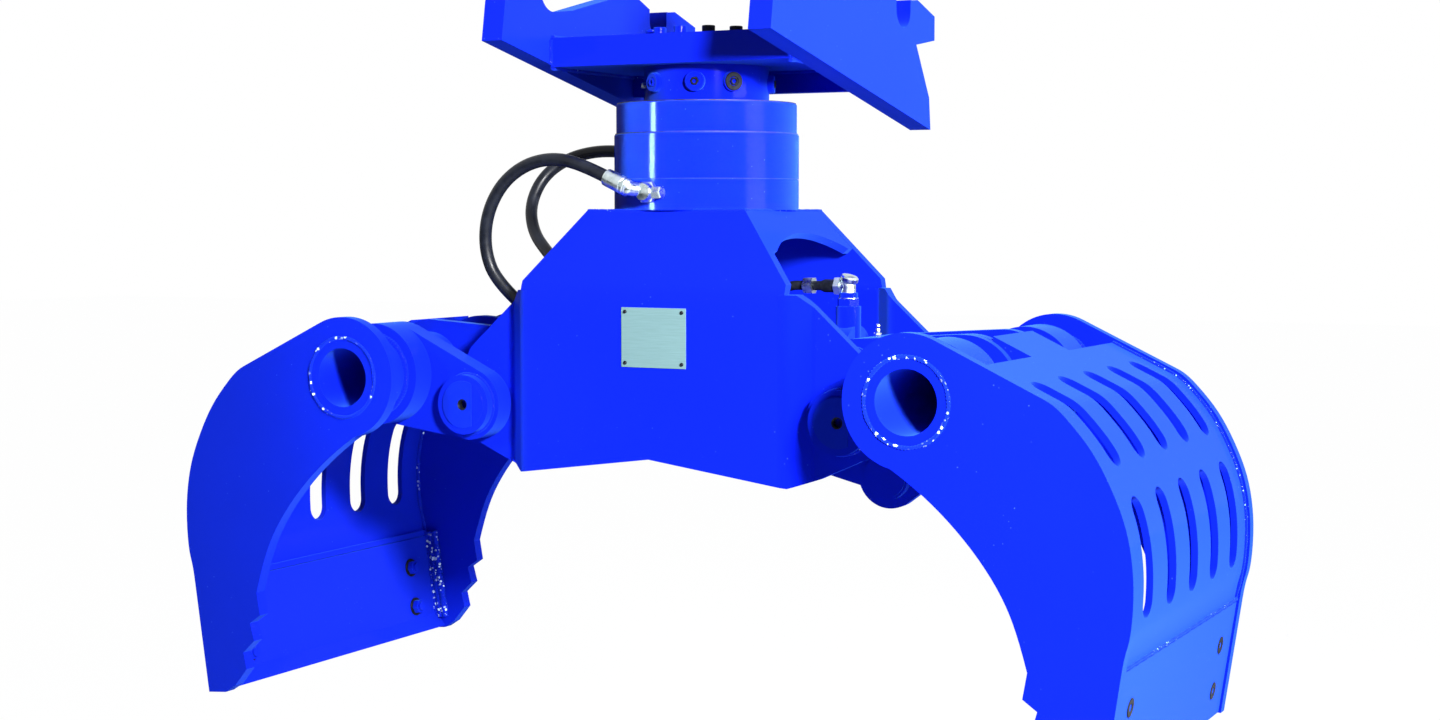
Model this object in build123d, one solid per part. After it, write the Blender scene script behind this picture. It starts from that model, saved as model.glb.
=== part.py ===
from build123d import *
import math
import os

# Rotating sorting grapple for a 12 to 20 tonne machine, in millimetres.
# The origin is on the slewing axis, on the top face of the grapple frame.
# X runs from jaw to jaw, Y to the rear and Z up; the jaws stand wide open.

# General clearances
RUN_FIT = 0.05
SIDE_GAP = 1.0
LOOSE = 0.5
FAR = 2000.0

# Adapter bracket above the rotator
BRACKET_INNER_X = 257.0
BRACKET_PLATE_T = 45.0
BASE_Z0 = 276.0
BASE_T = 56.0
BASE_HALF_Y = 160.0
REAR_WEB_T = 30.0
REAR_WEB_Z0 = 233.0
FRONT_SEAT_Y = -150.0
FRONT_SEAT_Z = 428.0
FRONT_SEAT_R = 45.0
FRONT_SEAT_REAR_DEG = 9.0
FRONT_SEAT_WRAP_DEG = 120.0
REAR_NOTCH_Y = 266.0
REAR_NOTCH_Z = 398.0
REAR_NOTCH_R = 36.0
HOOK = ((-19.0, 58.0), (-29.0, 84.0), (-95.0, 92.0), (-150.0, 66.0))
CHEEK_FOOT = ((-330.0, 316.0), (412.0, 165.0), (404.0, 230.0), (334.0, 333.0))
CHEEK_TAIL = ((165.0, -50.0), (165.0, -1.0), (73.0, 25.0), (46.0, 22.0), (-38.0, 22.0))
CHEEK_CROWN = ((186.0, 436.0), (150.0, 441.0), (118.0, 437.0), (64.0, 425.0), (-79.0, 391.0))
BOLT_COUNT = 12
BOLT_CIRCLE_R = 106.0
BOLT_SHANK_R = 8.0
BOLT_HEAD_R = 12.0
BOLT_HEAD_H = 16.0
BOLT_DEPTH = 28.0
SOCKET_R = 6.0
SOCKET_DEPTH = 10.0
HEAD_R = 122.0
PORT_PLUG_R = 19.0
PORT_PLUG_IN = 5.0
PORT_PLUG_OUT = 9.0
PORT_PLUG_ANGLES = (-72.0, -39.0, 20.0)

# Rotator housing
ROTATOR_R = 180.0
TOP_RING_R = 176.0
RING_Z1 = 60.0
RING_Z2 = 146.4
RING_Z3 = 205.3
RING_CHAMFER = 2.5
HEAD_GAP = 4.7
SHAFT_R = 92.0
SHAFT_END_Z = 14.0
FLANGE_R = 124.0
FLANGE_H = 30.0

# Grapple frame
FRAME_T = 20.0
TOP_OVERHANG_X = 10.5
TOP_OVERHANG_Y = 12.0
FRAME_TOP_HALF_X = ROTATOR_R - TOP_OVERHANG_X
FRAME_TOP_HALF_Y = ROTATOR_R - TOP_OVERHANG_Y
FRAME_FACE_Y = 234.0
FRAME_BEND_Z = -154.0
FRAME_KNEE_X = 282.0
FRAME_KNEE_Z = -135.5
SIDE_BEND_R = 12.0
PANEL_BEND_R = 50.0
FRAME_SLOPE_X = 298.0
JOGGLE_X = 322.0
FRAME_END_Y = 193.0
SLOPE_END_X = 425.0
SLOPE_END_Z = -270.0
NOTCH_Z = -467.0
LOW_KNEE_X = 332.0
LOW_KNEE_Z = -490.5
CORNER_X = 286.0
CORNER_Z = -506.0
END_LOW_X = 412.0
END_LOW_Z = -455.0
FRAME_END_R = 76.0
WEB_T = 16.0
WEB_FOOT_X = 232.0
WEB_FOOT_Z = -76.0
ARCH_R = 330.0
ARCH_CROWN_Z = -44.0
PLATE_X0 = -56.0
PLATE_X1 = 81.0
PLATE_Z0 = -294.0
PLATE_Z1 = -182.0
PLATE_T = 2.0
RIVET_INSET = 8.0
RIVET_R = 3.0

# Jaw pivots
PIVOT_X = 400.0
PIVOT_Z = -378.0
PIN_R = 32.0
HUB_R = 58.0
HUB_IN_Y = 150.0
PIN_HEAD_R = 58.0
PIN_HEAD_T = 20.0
GREASE_HOLE_R = 9.0
GREASE_HOLE_DEPTH = 14.0
KEEPER_R = 46.4
KEEPER_FLAT_X = 20.9
KEEPER_HOLE_R = 11.0
KEEPER_IN = 6.0
KEEPER_OUT = 2.0
LEVER_T = 45.0
LEVER_BOSS_R = 70.0
LEVER_ROOT_R = 100.0
COLLAR_END_Y = 292.0

# Jaw shape, with contour points from the tube centre, outwards and up
JAW_WIDTH = 790.0
JAW_PLATE_T = 25.0
TUBE_X = 587.0
TUBE_Z = -322.7
TUBE_R = 75.0
TUBE_BORE_R = 56.8
RING_R = 117.0
OUTER_STRAIGHT_END = (243.0, 14.0)
OUTER_CURVE = ((284.0, -19.0), (321.0, -63.0), (356.0, -124.0), (381.0, -187.0),
               (393.0, -250.0), (395.0, -310.0), (389.0, -370.0))
SEAM = (377.0, -424.0)
TIP = (344.0, -650.0)
TEETH = ((301.0, -646.0), (276.0, -630.0), (246.0, -594.0), (254.0, -561.0),
         (226.0, -535.0), (236.0, -500.0), (210.0, -482.0), (218.0, -437.0))
INNER_START_DEG = 14.0
INNER_CURVE = ((203.0, -387.0), (184.0, -338.0), (152.0, -283.0), (100.0, -219.0),
               (33.0, -157.0))
SHELL_INSET = 9.0
SHELL_T = 12.0
SHELL_START = 80.0
SLOT_COUNT = 5
SLOT_EDGE = 90.0
SLOT_W = 54.0
SLOT_REACH = 70.0
UPPER_SLOT = ((181.0, 34.0), (335.0, -100.0))
LOWER_SLOT = ((361.0, -149.0), (384.0, -350.0))
BLADE_INSET = 5.0
BLADE_T = 12.0
SEAM_BAR_H = 12.0
EDGE_T = 10.0
EDGE_GAP = 1.5
LIP_L = 30.0
LIP_INSET = 45.0
BLADE_BOLT_Y = 290.0
BLADE_BOLT_ROWS = (78.0, 168.0)
BLADE_BOLT_R = 10.0
SINK_R = 18.0
SINK_DEPTH = 8.0
NUT_R = 16.0
NUT_H = 14.0
BOLT_END_L = 6.0

# Cylinder, its clevises and the synchronising rod
EYE_DX = -36.0
EYE_DZ = 93.0
EYE_R = 48.0
EYE_RELIEF_R = 40.0
EYE_OVERLAP = 8.0
SADDLE_FOOT_ALONG = 24.0
SADDLE_FOOT_IN = 62.0
LUG_IN_Y = 79.0
LUG_T = 25.0
EYE_PIN_R = 25.0
PIN_CAP_R = 34.0
PIN_CAP_T = 7.0
BARREL_R = 67.0
BARREL_BORE_R = 52.0
BARREL_LENGTH = 480.0
BARREL_CAP = 52.0
GLAND_L = 28.0
GLAND_IN = 30.0
GLAND_STEP = 4.0
ROD_R = 32.0
ROD_END_IN = 43.0
ROD_COLLAR_END = 82.0
ROD_COLLAR_R = 41.0
PISTON_L = 55.0
PISTON_GAP = 8.0
PORT_X = 304.0
PORT_BOSS_R = 24.0
PORT_TOP_Z = -166.0
PORT_FITTING_R = 19.0
PORT_FITTING_H = 16.0
PORT_ELBOW_R = 14.0
PORT_ELBOW_H = 22.0
PORT_REACH = 26.0
PIPE_R = 9.0
PIPE_LEVEL_END = 120.0
PIPE_DROP_END = 200.0
PIPE_LIFT = 24.0
PIPE_BEND_R = 60.0
PIPE_END_R = 20.0
ROD_PORT_IN = 46.0
ROD_PORT_H = 12.0
SYNC_DX = 43.0
SYNC_DZ = -105.0
SYNC_BOSS_R = 61.0
SYNC_LUG_Y0 = 106.0
SYNC_LUG_T = 19.0
SYNC_ROD_T = 17.0
SYNC_ROD_HALF = 30.0
SYNC_PIN_R = 22.0
SYNC_CAP_T = 3.0
SYNC_CAP_R = 40.0
SYNC_EYE_R = 44.0

# Hoses
HOSE_R = 12.5
FERRULE_R = 17.0
FERRULE_L = 34.0
UNION_NUT_R = 20.0
UNION_NUT_L = 12.0
FITTING_R = 13.5
ELBOW_LEG = 14.0
ELBOW_FOOT_IN = 24.0
FRONT_FOOT_DEG = -97.0
FRONT_FOOT_Z = 32.0
REAR_FOOT_DEG = 120.0
REAR_FOOT_Z = 100.0
FRONT_END_REACH = 90.0
REAR_END_REACH = 60.0
BLOCK_CHAMFER = 3.0
BLOCK_X0 = -278.0
BLOCK_X1 = -228.0
BLOCK_Y1 = -36.0
BLOCK_Z0 = -250.0
BLOCK_Z1 = -200.0
FRONT_HOSE = ((-100, -206, 60), (-166, -201, 89), (-237, -194, 100), (-305, -187, 86),
              (-363, -180, 47), (-400, -173, -13), (-409, -165, -80), (-388, -157, -140),
              (-340, -148, -182))
REAR_HOSE = ((-196, 152, 106), (-262, 150, 120), (-330, 140, 124), (-394, 121, 108),
             (-439, 95, 69), (-451, 66, 10), (-424, 36, -45), (-370, 4, -86),
             (-310, -26, -122), (-266, -50, -166))

# Values that follow from the sizes above
JAW_Y = JAW_WIDTH / 2
SHELL_Y = JAW_Y - JAW_PLATE_T
LEVER_Y = FRAME_END_Y + 2 * SIDE_GAP
EYE_X = PIVOT_X + EYE_DX
EYE_Z = PIVOT_Z + EYE_DZ
SYNC_X = PIVOT_X + SYNC_DX
SYNC_Z = PIVOT_Z + SYNC_DZ
SYNC_ROD_Y = SYNC_LUG_Y0 + SYNC_LUG_T + SIDE_GAP
SLOT_PITCH = 2 * (SHELL_Y - SLOT_EDGE) / (SLOT_COUNT - 1)
BLADE_IN = BLADE_INSET + BLADE_T
EDGE_IN = BLADE_IN + EDGE_T
BARREL_START_X = EYE_X - EYE_R + EYE_OVERLAP
BARREL_END_X = EYE_X - EYE_R - BARREL_LENGTH
ROD_PORT_X = BARREL_END_X + ROD_PORT_IN
PORT_LEVEL_Z = PORT_TOP_Z + PORT_ELBOW_H
PANEL_TILT = math.atan2(FRAME_FACE_Y - FRAME_TOP_HALF_Y, -FRAME_BEND_Z)
BASE_TOP = BASE_Z0 + BASE_T
HEAD_Z0 = RING_Z3 + HEAD_GAP


def box(x0, x1, y0, y1, z0, z1):
    """Block between two corners."""
    return Pos(x0, y0, z0) * Box(x1 - x0, y1 - y0, z1 - z0, align=(Align.MIN,) * 3)


def standing_cylinder(radius, height):
    """Cylinder that stands on the origin."""
    return Cylinder(radius, height, align=(Align.CENTER, Align.CENTER, Align.MIN))


def rod_y(x, z, radius, y0, y1):
    """Cylinder along Y."""
    return Plane(origin=(x, y0, z), x_dir=(1, 0, 0), z_dir=(0, 1, 0)) * standing_cylinder(radius, y1 - y0)


def rod_z(x, y, radius, z0, z1):
    """Cylinder along Z."""
    return Pos(x, y, z0) * standing_cylinder(radius, z1 - z0)


def rod_between(start, end, radius):
    """Cylinder from one point to another."""
    way = Vector(*end) - Vector(*start)
    return Plane(origin=start, z_dir=way) * standing_cylinder(radius, way.length)


def xz_plane(y):
    """Plane at a depth whose local axes are X and Z; extruding goes to the front."""
    return Plane(origin=(0, y, 0), x_dir=(1, 0, 0), z_dir=(0, -1, 0))


def prism_xz(points, y0, y1):
    """Polygon of (x, z) points extruded between two depths."""
    face = make_face(Polyline(*points, close=True))
    return extrude(xz_plane(y1) * face, y1 - y0)


def yz_plane(x):
    """Plane at a width whose local axes are Y and Z; extruding goes to the right."""
    return Plane(origin=(x, 0, 0), x_dir=(0, 1, 0), z_dir=(1, 0, 0))


def hull_xz(circles, y0, y1):
    """Plate with straight flanks round two circles given as (x, z, radius)."""
    edges = []
    for x, z, radius in circles:
        edges += (Pos(x, z) * Circle(radius)).edges()
    return extrude(xz_plane(y1) * make_hull(edges), y1 - y0)


def both_sides(shape):
    """The shape at the front together with its twin at the rear."""
    return shape + mirror(shape, about=Plane.XZ)


# Adapter bracket

def seat_point(angle):
    """Point of the front seat at an angle from its lowest point, counted to the front."""
    turn = math.radians(angle)
    return (FRONT_SEAT_Y - FRONT_SEAT_R * math.sin(turn), FRONT_SEAT_Z - FRONT_SEAT_R * math.cos(turn))


def bracket_profile():
    """Side profile of the bracket cheeks, with the open front pin seat."""
    middle = (FRONT_SEAT_WRAP_DEG - FRONT_SEAT_REAR_DEG) / 2
    rear_end = seat_point(-FRONT_SEAT_REAR_DEG)
    front_end = seat_point(FRONT_SEAT_WRAP_DEG)
    seat = ThreePointArc(rear_end, seat_point(middle), front_end)
    hook = [(FRONT_SEAT_Y + y, FRONT_SEAT_Z + z) for y, z in HOOK]
    tail = [(REAR_NOTCH_Y + y, REAR_NOTCH_Z + z) for y, z in CHEEK_TAIL]
    rest = Polyline(front_end, *hook, *CHEEK_FOOT, *tail, *CHEEK_CROWN, rear_end)
    return make_face(seat + rest)


def bracket_side_plate(x0):
    """Cheek plate with the front seat and the rear notch for the two machine pins."""
    plate = extrude(yz_plane(x0) * bracket_profile(), BRACKET_PLATE_T)
    notch = yz_plane(x0) * Pos(REAR_NOTCH_Y, REAR_NOTCH_Z) * standing_cylinder(REAR_NOTCH_R, BRACKET_PLATE_T)
    mouth = box(x0, x0 + BRACKET_PLATE_T, REAR_NOTCH_Y - REAR_NOTCH_R, REAR_NOTCH_Y + REAR_NOTCH_R,
                REAR_NOTCH_Z, FAR)
    return plate - notch - mouth


def bolt_positions():
    """Places of the bolts on their circle."""
    turns = [2 * math.pi * i / BOLT_COUNT for i in range(BOLT_COUNT)]
    return [(BOLT_CIRCLE_R * math.cos(turn), BOLT_CIRCLE_R * math.sin(turn)) for turn in turns]


def bracket_base():
    """Thick level plate with its ring of bolt holes."""
    plate = box(-BRACKET_INNER_X, BRACKET_INNER_X, -BASE_HALF_Y, BASE_HALF_Y, BASE_Z0, BASE_TOP)
    for x, y in bolt_positions():
        plate -= rod_z(x, y, BOLT_SHANK_R, BASE_Z0, BASE_TOP)
    return plate


def bracket_bolts():
    """Socket-head bolts that hold the rotor head under the base plate."""
    bolts = []
    for x, y in bolt_positions():
        head = rod_z(x, y, BOLT_HEAD_R, BASE_TOP, BASE_TOP + BOLT_HEAD_H)
        socket = Pos(x, y, BASE_TOP + BOLT_HEAD_H) * extrude(RegularPolygon(SOCKET_R, 6), -SOCKET_DEPTH)
        shank = rod_z(x, y, BOLT_SHANK_R, BASE_Z0 - BOLT_DEPTH, BASE_TOP)
        bolts.append(head - socket + shank)
    return Compound(children=bolts)


def rotor_head():
    """Fixed head and shaft of the rotator, with the flange that carries the housing."""
    head = rod_z(0, 0, HEAD_R, HEAD_Z0, BASE_Z0)
    head += rod_z(0, 0, SHAFT_R, SHAFT_END_Z, HEAD_Z0)
    head += rod_z(0, 0, FLANGE_R, RING_Z1 + SIDE_GAP, RING_Z1 + SIDE_GAP + FLANGE_H)
    for x, y in bolt_positions():
        head -= rod_z(x, y, BOLT_SHANK_R, BASE_Z0 - BOLT_DEPTH, BASE_Z0)
    for plug in port_plug_solids():
        head -= plug
    return head


def port_plug_solids():
    """Round plugs screwed into the side of the rotor head."""
    mid_z = (HEAD_Z0 + BASE_Z0) / 2
    plugs = []
    for angle in PORT_PLUG_ANGLES:
        way = Vector(1, 0).rotate(Axis.Z, angle)
        start = way * (HEAD_R - PORT_PLUG_IN) + Vector(0, 0, mid_z)
        end = way * (HEAD_R + PORT_PLUG_OUT) + Vector(0, 0, mid_z)
        plugs.append(rod_between(start, end, PORT_PLUG_R))
    return plugs


# Rotator housing

def housing_ring(radius, z0, z1):
    """One ring of the housing, bored for the shaft."""
    ring = rod_z(0, 0, radius, z0, z1)
    ring = chamfer(ring.edges().filter_by(GeomType.CIRCLE), RING_CHAMFER)
    return ring - rod_z(0, 0, SHAFT_R + RUN_FIT, z0, z1)


def middle_ring():
    """Middle ring with the pocket of the shaft's flange."""
    pocket = rod_z(0, 0, FLANGE_R + SIDE_GAP, RING_Z1, RING_Z1 + FLANGE_H + 2 * SIDE_GAP)
    return housing_ring(ROTATOR_R, RING_Z1, RING_Z2) - pocket


# Grapple frame

def frame_outline(y0, y1):
    """Front view of the whole frame."""
    half = [(FRAME_TOP_HALF_X, 0), (FRAME_KNEE_X, FRAME_KNEE_Z), (FRAME_KNEE_X, FRAME_BEND_Z),
            (FRAME_SLOPE_X, FRAME_BEND_Z), (SLOPE_END_X, SLOPE_END_Z), (PIVOT_X + FRAME_END_R, PIVOT_Z),
            (END_LOW_X, END_LOW_Z), (LOW_KNEE_X, LOW_KNEE_Z), (CORNER_X, CORNER_Z)]
    points = half + [(0, NOTCH_Z)] + [(-x, z) for x, z in reversed(half)]
    outline = prism_xz(points, y0, y1)
    for side in (1, -1):
        outline += rod_y(side * PIVOT_X, PIVOT_Z, FRAME_END_R, y0, y1)
    return outline


def bent_strip(outer, inner, outer_radii, inner_radii):
    """Section of a bent plate between its two skins, with rounded bends."""
    skin = FilletPolyline(*outer, radius=outer_radii)
    inside = FilletPolyline(*inner, radius=inner_radii)
    return make_face(skin + Line(outer[-1], inner[-1]) + inside + Line(inner[0], outer[0]))


def joggled_ends():
    """Both ends of the front plate below its panel, stepped inwards beside the flat face."""
    turn = math.atan2(FRAME_FACE_Y - FRAME_END_Y, JOGGLE_X - FRAME_KNEE_X)
    shift = FRAME_T * math.tan(turn / 2)
    flat_x = FRAME_KNEE_X - (SIDE_BEND_R + FRAME_T) * math.tan(turn / 2)
    end_x = PIVOT_X + FRAME_END_R
    outer = [(end_x, -FRAME_END_Y), (JOGGLE_X, -FRAME_END_Y), (FRAME_KNEE_X, -FRAME_FACE_Y),
             (0, -FRAME_FACE_Y)]
    inner = [(end_x, FRAME_T - FRAME_END_Y), (JOGGLE_X - shift, FRAME_T - FRAME_END_Y),
             (FRAME_KNEE_X - shift, FRAME_T - FRAME_FACE_Y), (0, FRAME_T - FRAME_FACE_Y)]
    wide_bend = SIDE_BEND_R + FRAME_T
    plan = bent_strip(outer, inner, [SIDE_BEND_R, wide_bend], [wide_bend, SIDE_BEND_R])
    right = extrude(Pos(0, 0, CORNER_Z) * plan, FRAME_BEND_Z - CORNER_Z)
    right -= box(-FAR, flat_x, -FAR, FAR, -FAR, FAR)
    return right + mirror(right, about=Plane.YZ), flat_x


def frame_front_plate():
    """Front plate: panel that leans back, flat face and joggled ends that carry the hubs."""
    lean = FRAME_T / math.cos(PANEL_TILT)
    step = FRAME_T * math.tan(PANEL_TILT / 2)
    outer = [(-FRAME_FACE_Y, CORNER_Z), (-FRAME_FACE_Y, FRAME_BEND_Z), (-FRAME_TOP_HALF_Y, 0)]
    inner = [(FRAME_T - FRAME_FACE_Y, CORNER_Z), (FRAME_T - FRAME_FACE_Y, FRAME_BEND_Z - step),
             (lean - FRAME_TOP_HALF_Y, 0)]
    profile = bent_strip(outer, inner, [PANEL_BEND_R + FRAME_T], [PANEL_BEND_R])
    middle = extrude(yz_plane(-FRAME_KNEE_X) * profile, 2 * FRAME_KNEE_X)
    ends, flat_x = joggled_ends()
    panel = middle & box(-FRAME_KNEE_X, FRAME_KNEE_X, -FAR, FAR, FRAME_BEND_Z, FAR)
    flat = middle & box(-flat_x, flat_x, -FAR, FAR, -FAR, FRAME_BEND_Z)
    plate = (panel + flat + ends) & frame_outline(-FRAME_FACE_Y, 0)
    for side in (1, -1):
        plate -= rod_y(side * PIVOT_X, PIVOT_Z, HUB_R, -FRAME_FACE_Y, 0)
    return plate


def frame_top_plate(front, rear):
    """Level top plate under the rotator, fitted between the two main plates."""
    plate = box(-FRAME_TOP_HALF_X, FRAME_TOP_HALF_X, -FRAME_TOP_HALF_Y, FRAME_TOP_HALF_Y, -FRAME_T, 0)
    return plate - front - rear


def frame_slope_web(front, rear, top_plate):
    """Sloping end plate with an arched opening, right-hand one."""
    drop = Vector(WEB_FOOT_X - FRAME_TOP_HALF_X, WEB_FOOT_Z).normalized()
    inward = Vector(drop.Y, -drop.X) * WEB_T
    foot = (WEB_FOOT_X, WEB_FOOT_Z)
    head = (FRAME_TOP_HALF_X, 0)
    points = [head, foot, (foot[0] + inward.X, foot[1] + inward.Y), (head[0] + inward.X, head[1] + inward.Y)]
    web = prism_xz(points, -FRAME_FACE_Y, FRAME_FACE_Y)
    centre = Vector(*head) + drop * (ARCH_CROWN_Z / drop.Y + ARCH_R)
    plane = Plane(origin=(centre.X, 0, centre.Y), x_dir=(0, 1, 0), z_dir=(-drop.Y, 0, drop.X))
    arch = plane * Cylinder(ARCH_R, 4 * WEB_T)
    web = web - arch - front - rear - top_plate
    return max(web.solids(), key=lambda solid: solid.volume)


def pivot_hubs():
    """The two pivot hubs of the right-hand jaw, front and rear."""
    hub = rod_y(PIVOT_X, PIVOT_Z, HUB_R, -LEVER_Y + SIDE_GAP, -HUB_IN_Y)
    hub -= rod_y(PIVOT_X, PIVOT_Z, PIN_R + RUN_FIT, -LEVER_Y, -HUB_IN_Y)
    return Compound(children=[hub, mirror(hub, about=Plane.XZ)])


def rating_plate():
    """Bare rating plate on four small rivets."""
    face_y = -FRAME_FACE_Y
    plate = box(PLATE_X0, PLATE_X1, face_y - PLATE_T, face_y, PLATE_Z0, PLATE_Z1)
    for x in (PLATE_X0 + RIVET_INSET, PLATE_X1 - RIVET_INSET):
        for z in (PLATE_Z0 + RIVET_INSET, PLATE_Z1 - RIVET_INSET):
            plate += rod_y(x, z, RIVET_R, face_y - 2 * PLATE_T, face_y)
    return plate


def hose_block(front):
    """Distribution block on the front plate's inner face, where both hoses end."""
    block = box(BLOCK_X0, BLOCK_X1, -FRAME_FACE_Y + FRAME_T, BLOCK_Y1, BLOCK_Z0, BLOCK_Z1)
    return chamfer(block.edges().filter_by(Axis.Y), BLOCK_CHAMFER) - front


# Hoses and fittings

def hose_tube(points):
    """Hose along straight runs joined by tangent arcs; returns the solid and its radii."""
    route = [Vector(*p) for p in points]
    radii = []
    for before, here, after in zip(route, route[1:], route[2:]):
        turn = math.radians((here - before).get_angle(after - here))
        run = min((here - before).length, (after - here).length)
        radii.append(0.45 * run / math.tan(turn / 2))
    path = FilletPolyline(*route, radius=radii)
    start = Plane(origin=route[0], z_dir=route[1] - route[0])
    tube = sweep(start * Circle(HOSE_R), path=path)
    print("hose length", round(path.length), "radii", [round(r) for r in radii],
          "volume ratio", round(tube.volume / (math.pi * HOSE_R ** 2 * path.length), 4))
    return tube


def end_fitting(points, reach, block):
    """Ferrule, nut and nipple beyond the end of a hose, down to the block's face."""
    last = Vector(*points[-1])
    way = (last - Vector(*points[-2])).normalized()
    ferrule_end = last + way * FERRULE_L
    fitting = rod_between(last, ferrule_end, FERRULE_R)
    fitting += rod_between(ferrule_end, ferrule_end + way * UNION_NUT_L, UNION_NUT_R)
    fitting += rod_between(ferrule_end, last + way * reach, HOSE_R)
    return fitting - block


def start_elbow(points, foot_deg, foot_z):
    """Elbow from the housing's side to the first point of a hose."""
    first = Vector(*points[0])
    way = (first - Vector(*points[1])).normalized()
    ferrule_end = first + way * FERRULE_L
    corner = ferrule_end + way * ELBOW_LEG
    foot = Vector(ROTATOR_R - ELBOW_FOOT_IN, 0, foot_z).rotate(Axis.Z, foot_deg)
    elbow = rod_between(first, ferrule_end, FERRULE_R)
    elbow += rod_between(ferrule_end, corner, FITTING_R)
    elbow += Pos(*corner) * Sphere(FITTING_R)
    return elbow + rod_between(corner, foot, FITTING_R)


# Jaws

def straight_foot():
    """Foot, direction and outward normal of the straight back of the jaw plate."""
    end = Vector(*OUTER_STRAIGHT_END)
    reach = math.sqrt(end.length ** 2 - RING_R ** 2)
    lean = math.atan2(end.Y, end.X) + math.acos(RING_R / end.length)
    foot = Vector(RING_R * math.cos(lean), RING_R * math.sin(lean))
    way = (end - foot) * (1 / reach)
    return foot, way, Vector(math.cos(lean), math.sin(lean))


def curve_points(inset):
    """Points of the curved back moved inwards by an inset."""
    points = [Vector(*p) for p in (OUTER_STRAIGHT_END,) + OUTER_CURVE + (SEAM,)]
    ways = curve_tangents(points)
    return [p + Vector(w.Y, -w.X) * inset for p, w in zip(points, ways)]


def curve_tangents(points):
    """Directions along the curved back at its points."""
    first = straight_foot()[1]
    last = (Vector(*TIP) - Vector(*SEAM)).normalized()
    middle = [(b - a).normalized() for a, b in zip(points, points[2:])]
    return [first] + middle + [last]


def back_curve(inset):
    """Smooth curved back of the jaw at an inset."""
    points = curve_points(inset)
    ways = curve_tangents(points)
    return Spline(*points, tangents=(ways[0], ways[-1]))


def jaw_place(y):
    """Plane of the right jaw's contours, with its origin at the tube centre."""
    return Plane(origin=(TUBE_X, y, TUBE_Z), x_dir=(1, 0, 0), z_dir=(0, -1, 0))


def jaw_side_plate():
    """Front side plate of the right jaw with its stepped inner edge."""
    foot, way, normal = straight_foot()
    low = Vector(0, -RING_R).rotate(Axis.Z, -INNER_START_DEG)
    back = back_curve(0)
    straight = Polyline((0, 0), foot, back @ 0)
    rest = Polyline(back @ 1, TIP, *TEETH)
    inner_points = [Vector(*TEETH[-1])] + [Vector(*p) for p in INNER_CURVE] + [low]
    inner = Spline(*inner_points)
    face = make_face(straight + back + rest + inner + Line(low, (0, 0)))
    plane = jaw_place(-SHELL_Y)
    plate = extrude(plane * face, JAW_PLATE_T)
    plate += rod_y(TUBE_X, TUBE_Z, RING_R, -JAW_Y, -SHELL_Y)
    return plate - rod_y(TUBE_X, TUBE_Z, TUBE_R, -JAW_Y, -SHELL_Y)


def torque_tube():
    """Hollow tube across the jaw."""
    return rod_y(TUBE_X, TUBE_Z, TUBE_R, -JAW_Y, JAW_Y) - rod_y(TUBE_X, TUBE_Z, TUBE_BORE_R, -JAW_Y, JAW_Y)


def jaw_lever():
    """Front lever from the tube to the pivot, with the collar outside it."""
    y1 = -LEVER_Y
    y0 = y1 - LEVER_T
    lever = hull_xz([(TUBE_X, TUBE_Z, LEVER_ROOT_R), (PIVOT_X, PIVOT_Z, LEVER_BOSS_R)], y0, y1)
    lever += rod_y(TUBE_X, TUBE_Z, LEVER_ROOT_R, -COLLAR_END_Y, y0)
    lever -= rod_y(TUBE_X, TUBE_Z, TUBE_R, -COLLAR_END_Y, y1)
    return lever - rod_y(PIVOT_X, PIVOT_Z, PIN_R, y0, y1)


def pivot_pin():
    """Front pivot pin of the right jaw with its head and grease hole."""
    face = -LEVER_Y - LEVER_T
    pin = rod_y(PIVOT_X, PIVOT_Z, PIN_R, face, -HUB_IN_Y)
    pin += rod_y(PIVOT_X, PIVOT_Z, PIN_HEAD_R, face - PIN_HEAD_T, face)
    head_face = face - PIN_HEAD_T
    pin -= rod_y(PIVOT_X, PIVOT_Z, GREASE_HOLE_R, head_face, head_face + GREASE_HOLE_DEPTH)
    return pin - keeper_solid()


def keeper_solid():
    """D-shaped keeper let into the pin head."""
    face = -LEVER_Y - LEVER_T - PIN_HEAD_T
    y0 = face - KEEPER_OUT
    y1 = face + KEEPER_IN
    disc = rod_y(PIVOT_X, PIVOT_Z, KEEPER_R, y0, y1)
    flat = box(PIVOT_X + KEEPER_FLAT_X, FAR, y0, y1, -FAR, FAR)
    return disc - flat - rod_y(PIVOT_X, PIVOT_Z, KEEPER_HOLE_R, y0, y1)


def cylinder_lugs():
    """Pair of inner lugs that hold a cylinder eye, with the saddle up to the shell."""
    foot, way, normal = straight_foot()
    lug = hull_xz([(TUBE_X, TUBE_Z, LEVER_ROOT_R), (EYE_X, EYE_Z, EYE_R)], -LUG_IN_Y - LUG_T, -LUG_IN_Y)
    lug -= rod_y(EYE_X, EYE_Z, EYE_PIN_R, -LUG_IN_Y - LUG_T, -LUG_IN_Y)
    pair = both_sides(lug)
    corners = [foot - normal * SHELL_INSET, foot + way * SHELL_START - normal * SHELL_INSET,
               foot + way * SHELL_START - normal * (SHELL_INSET + SHELL_T),
               foot + way * SADDLE_FOOT_ALONG - normal * SADDLE_FOOT_IN]
    points = [(TUBE_X + c.X, TUBE_Z + c.Y) for c in corners]
    saddle = prism_xz(points, -LUG_IN_Y - LUG_T, LUG_IN_Y + LUG_T)
    lugs = pair + saddle
    return lugs - rod_y(TUBE_X, TUBE_Z, TUBE_R, -LUG_IN_Y - LUG_T, LUG_IN_Y + LUG_T)


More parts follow.
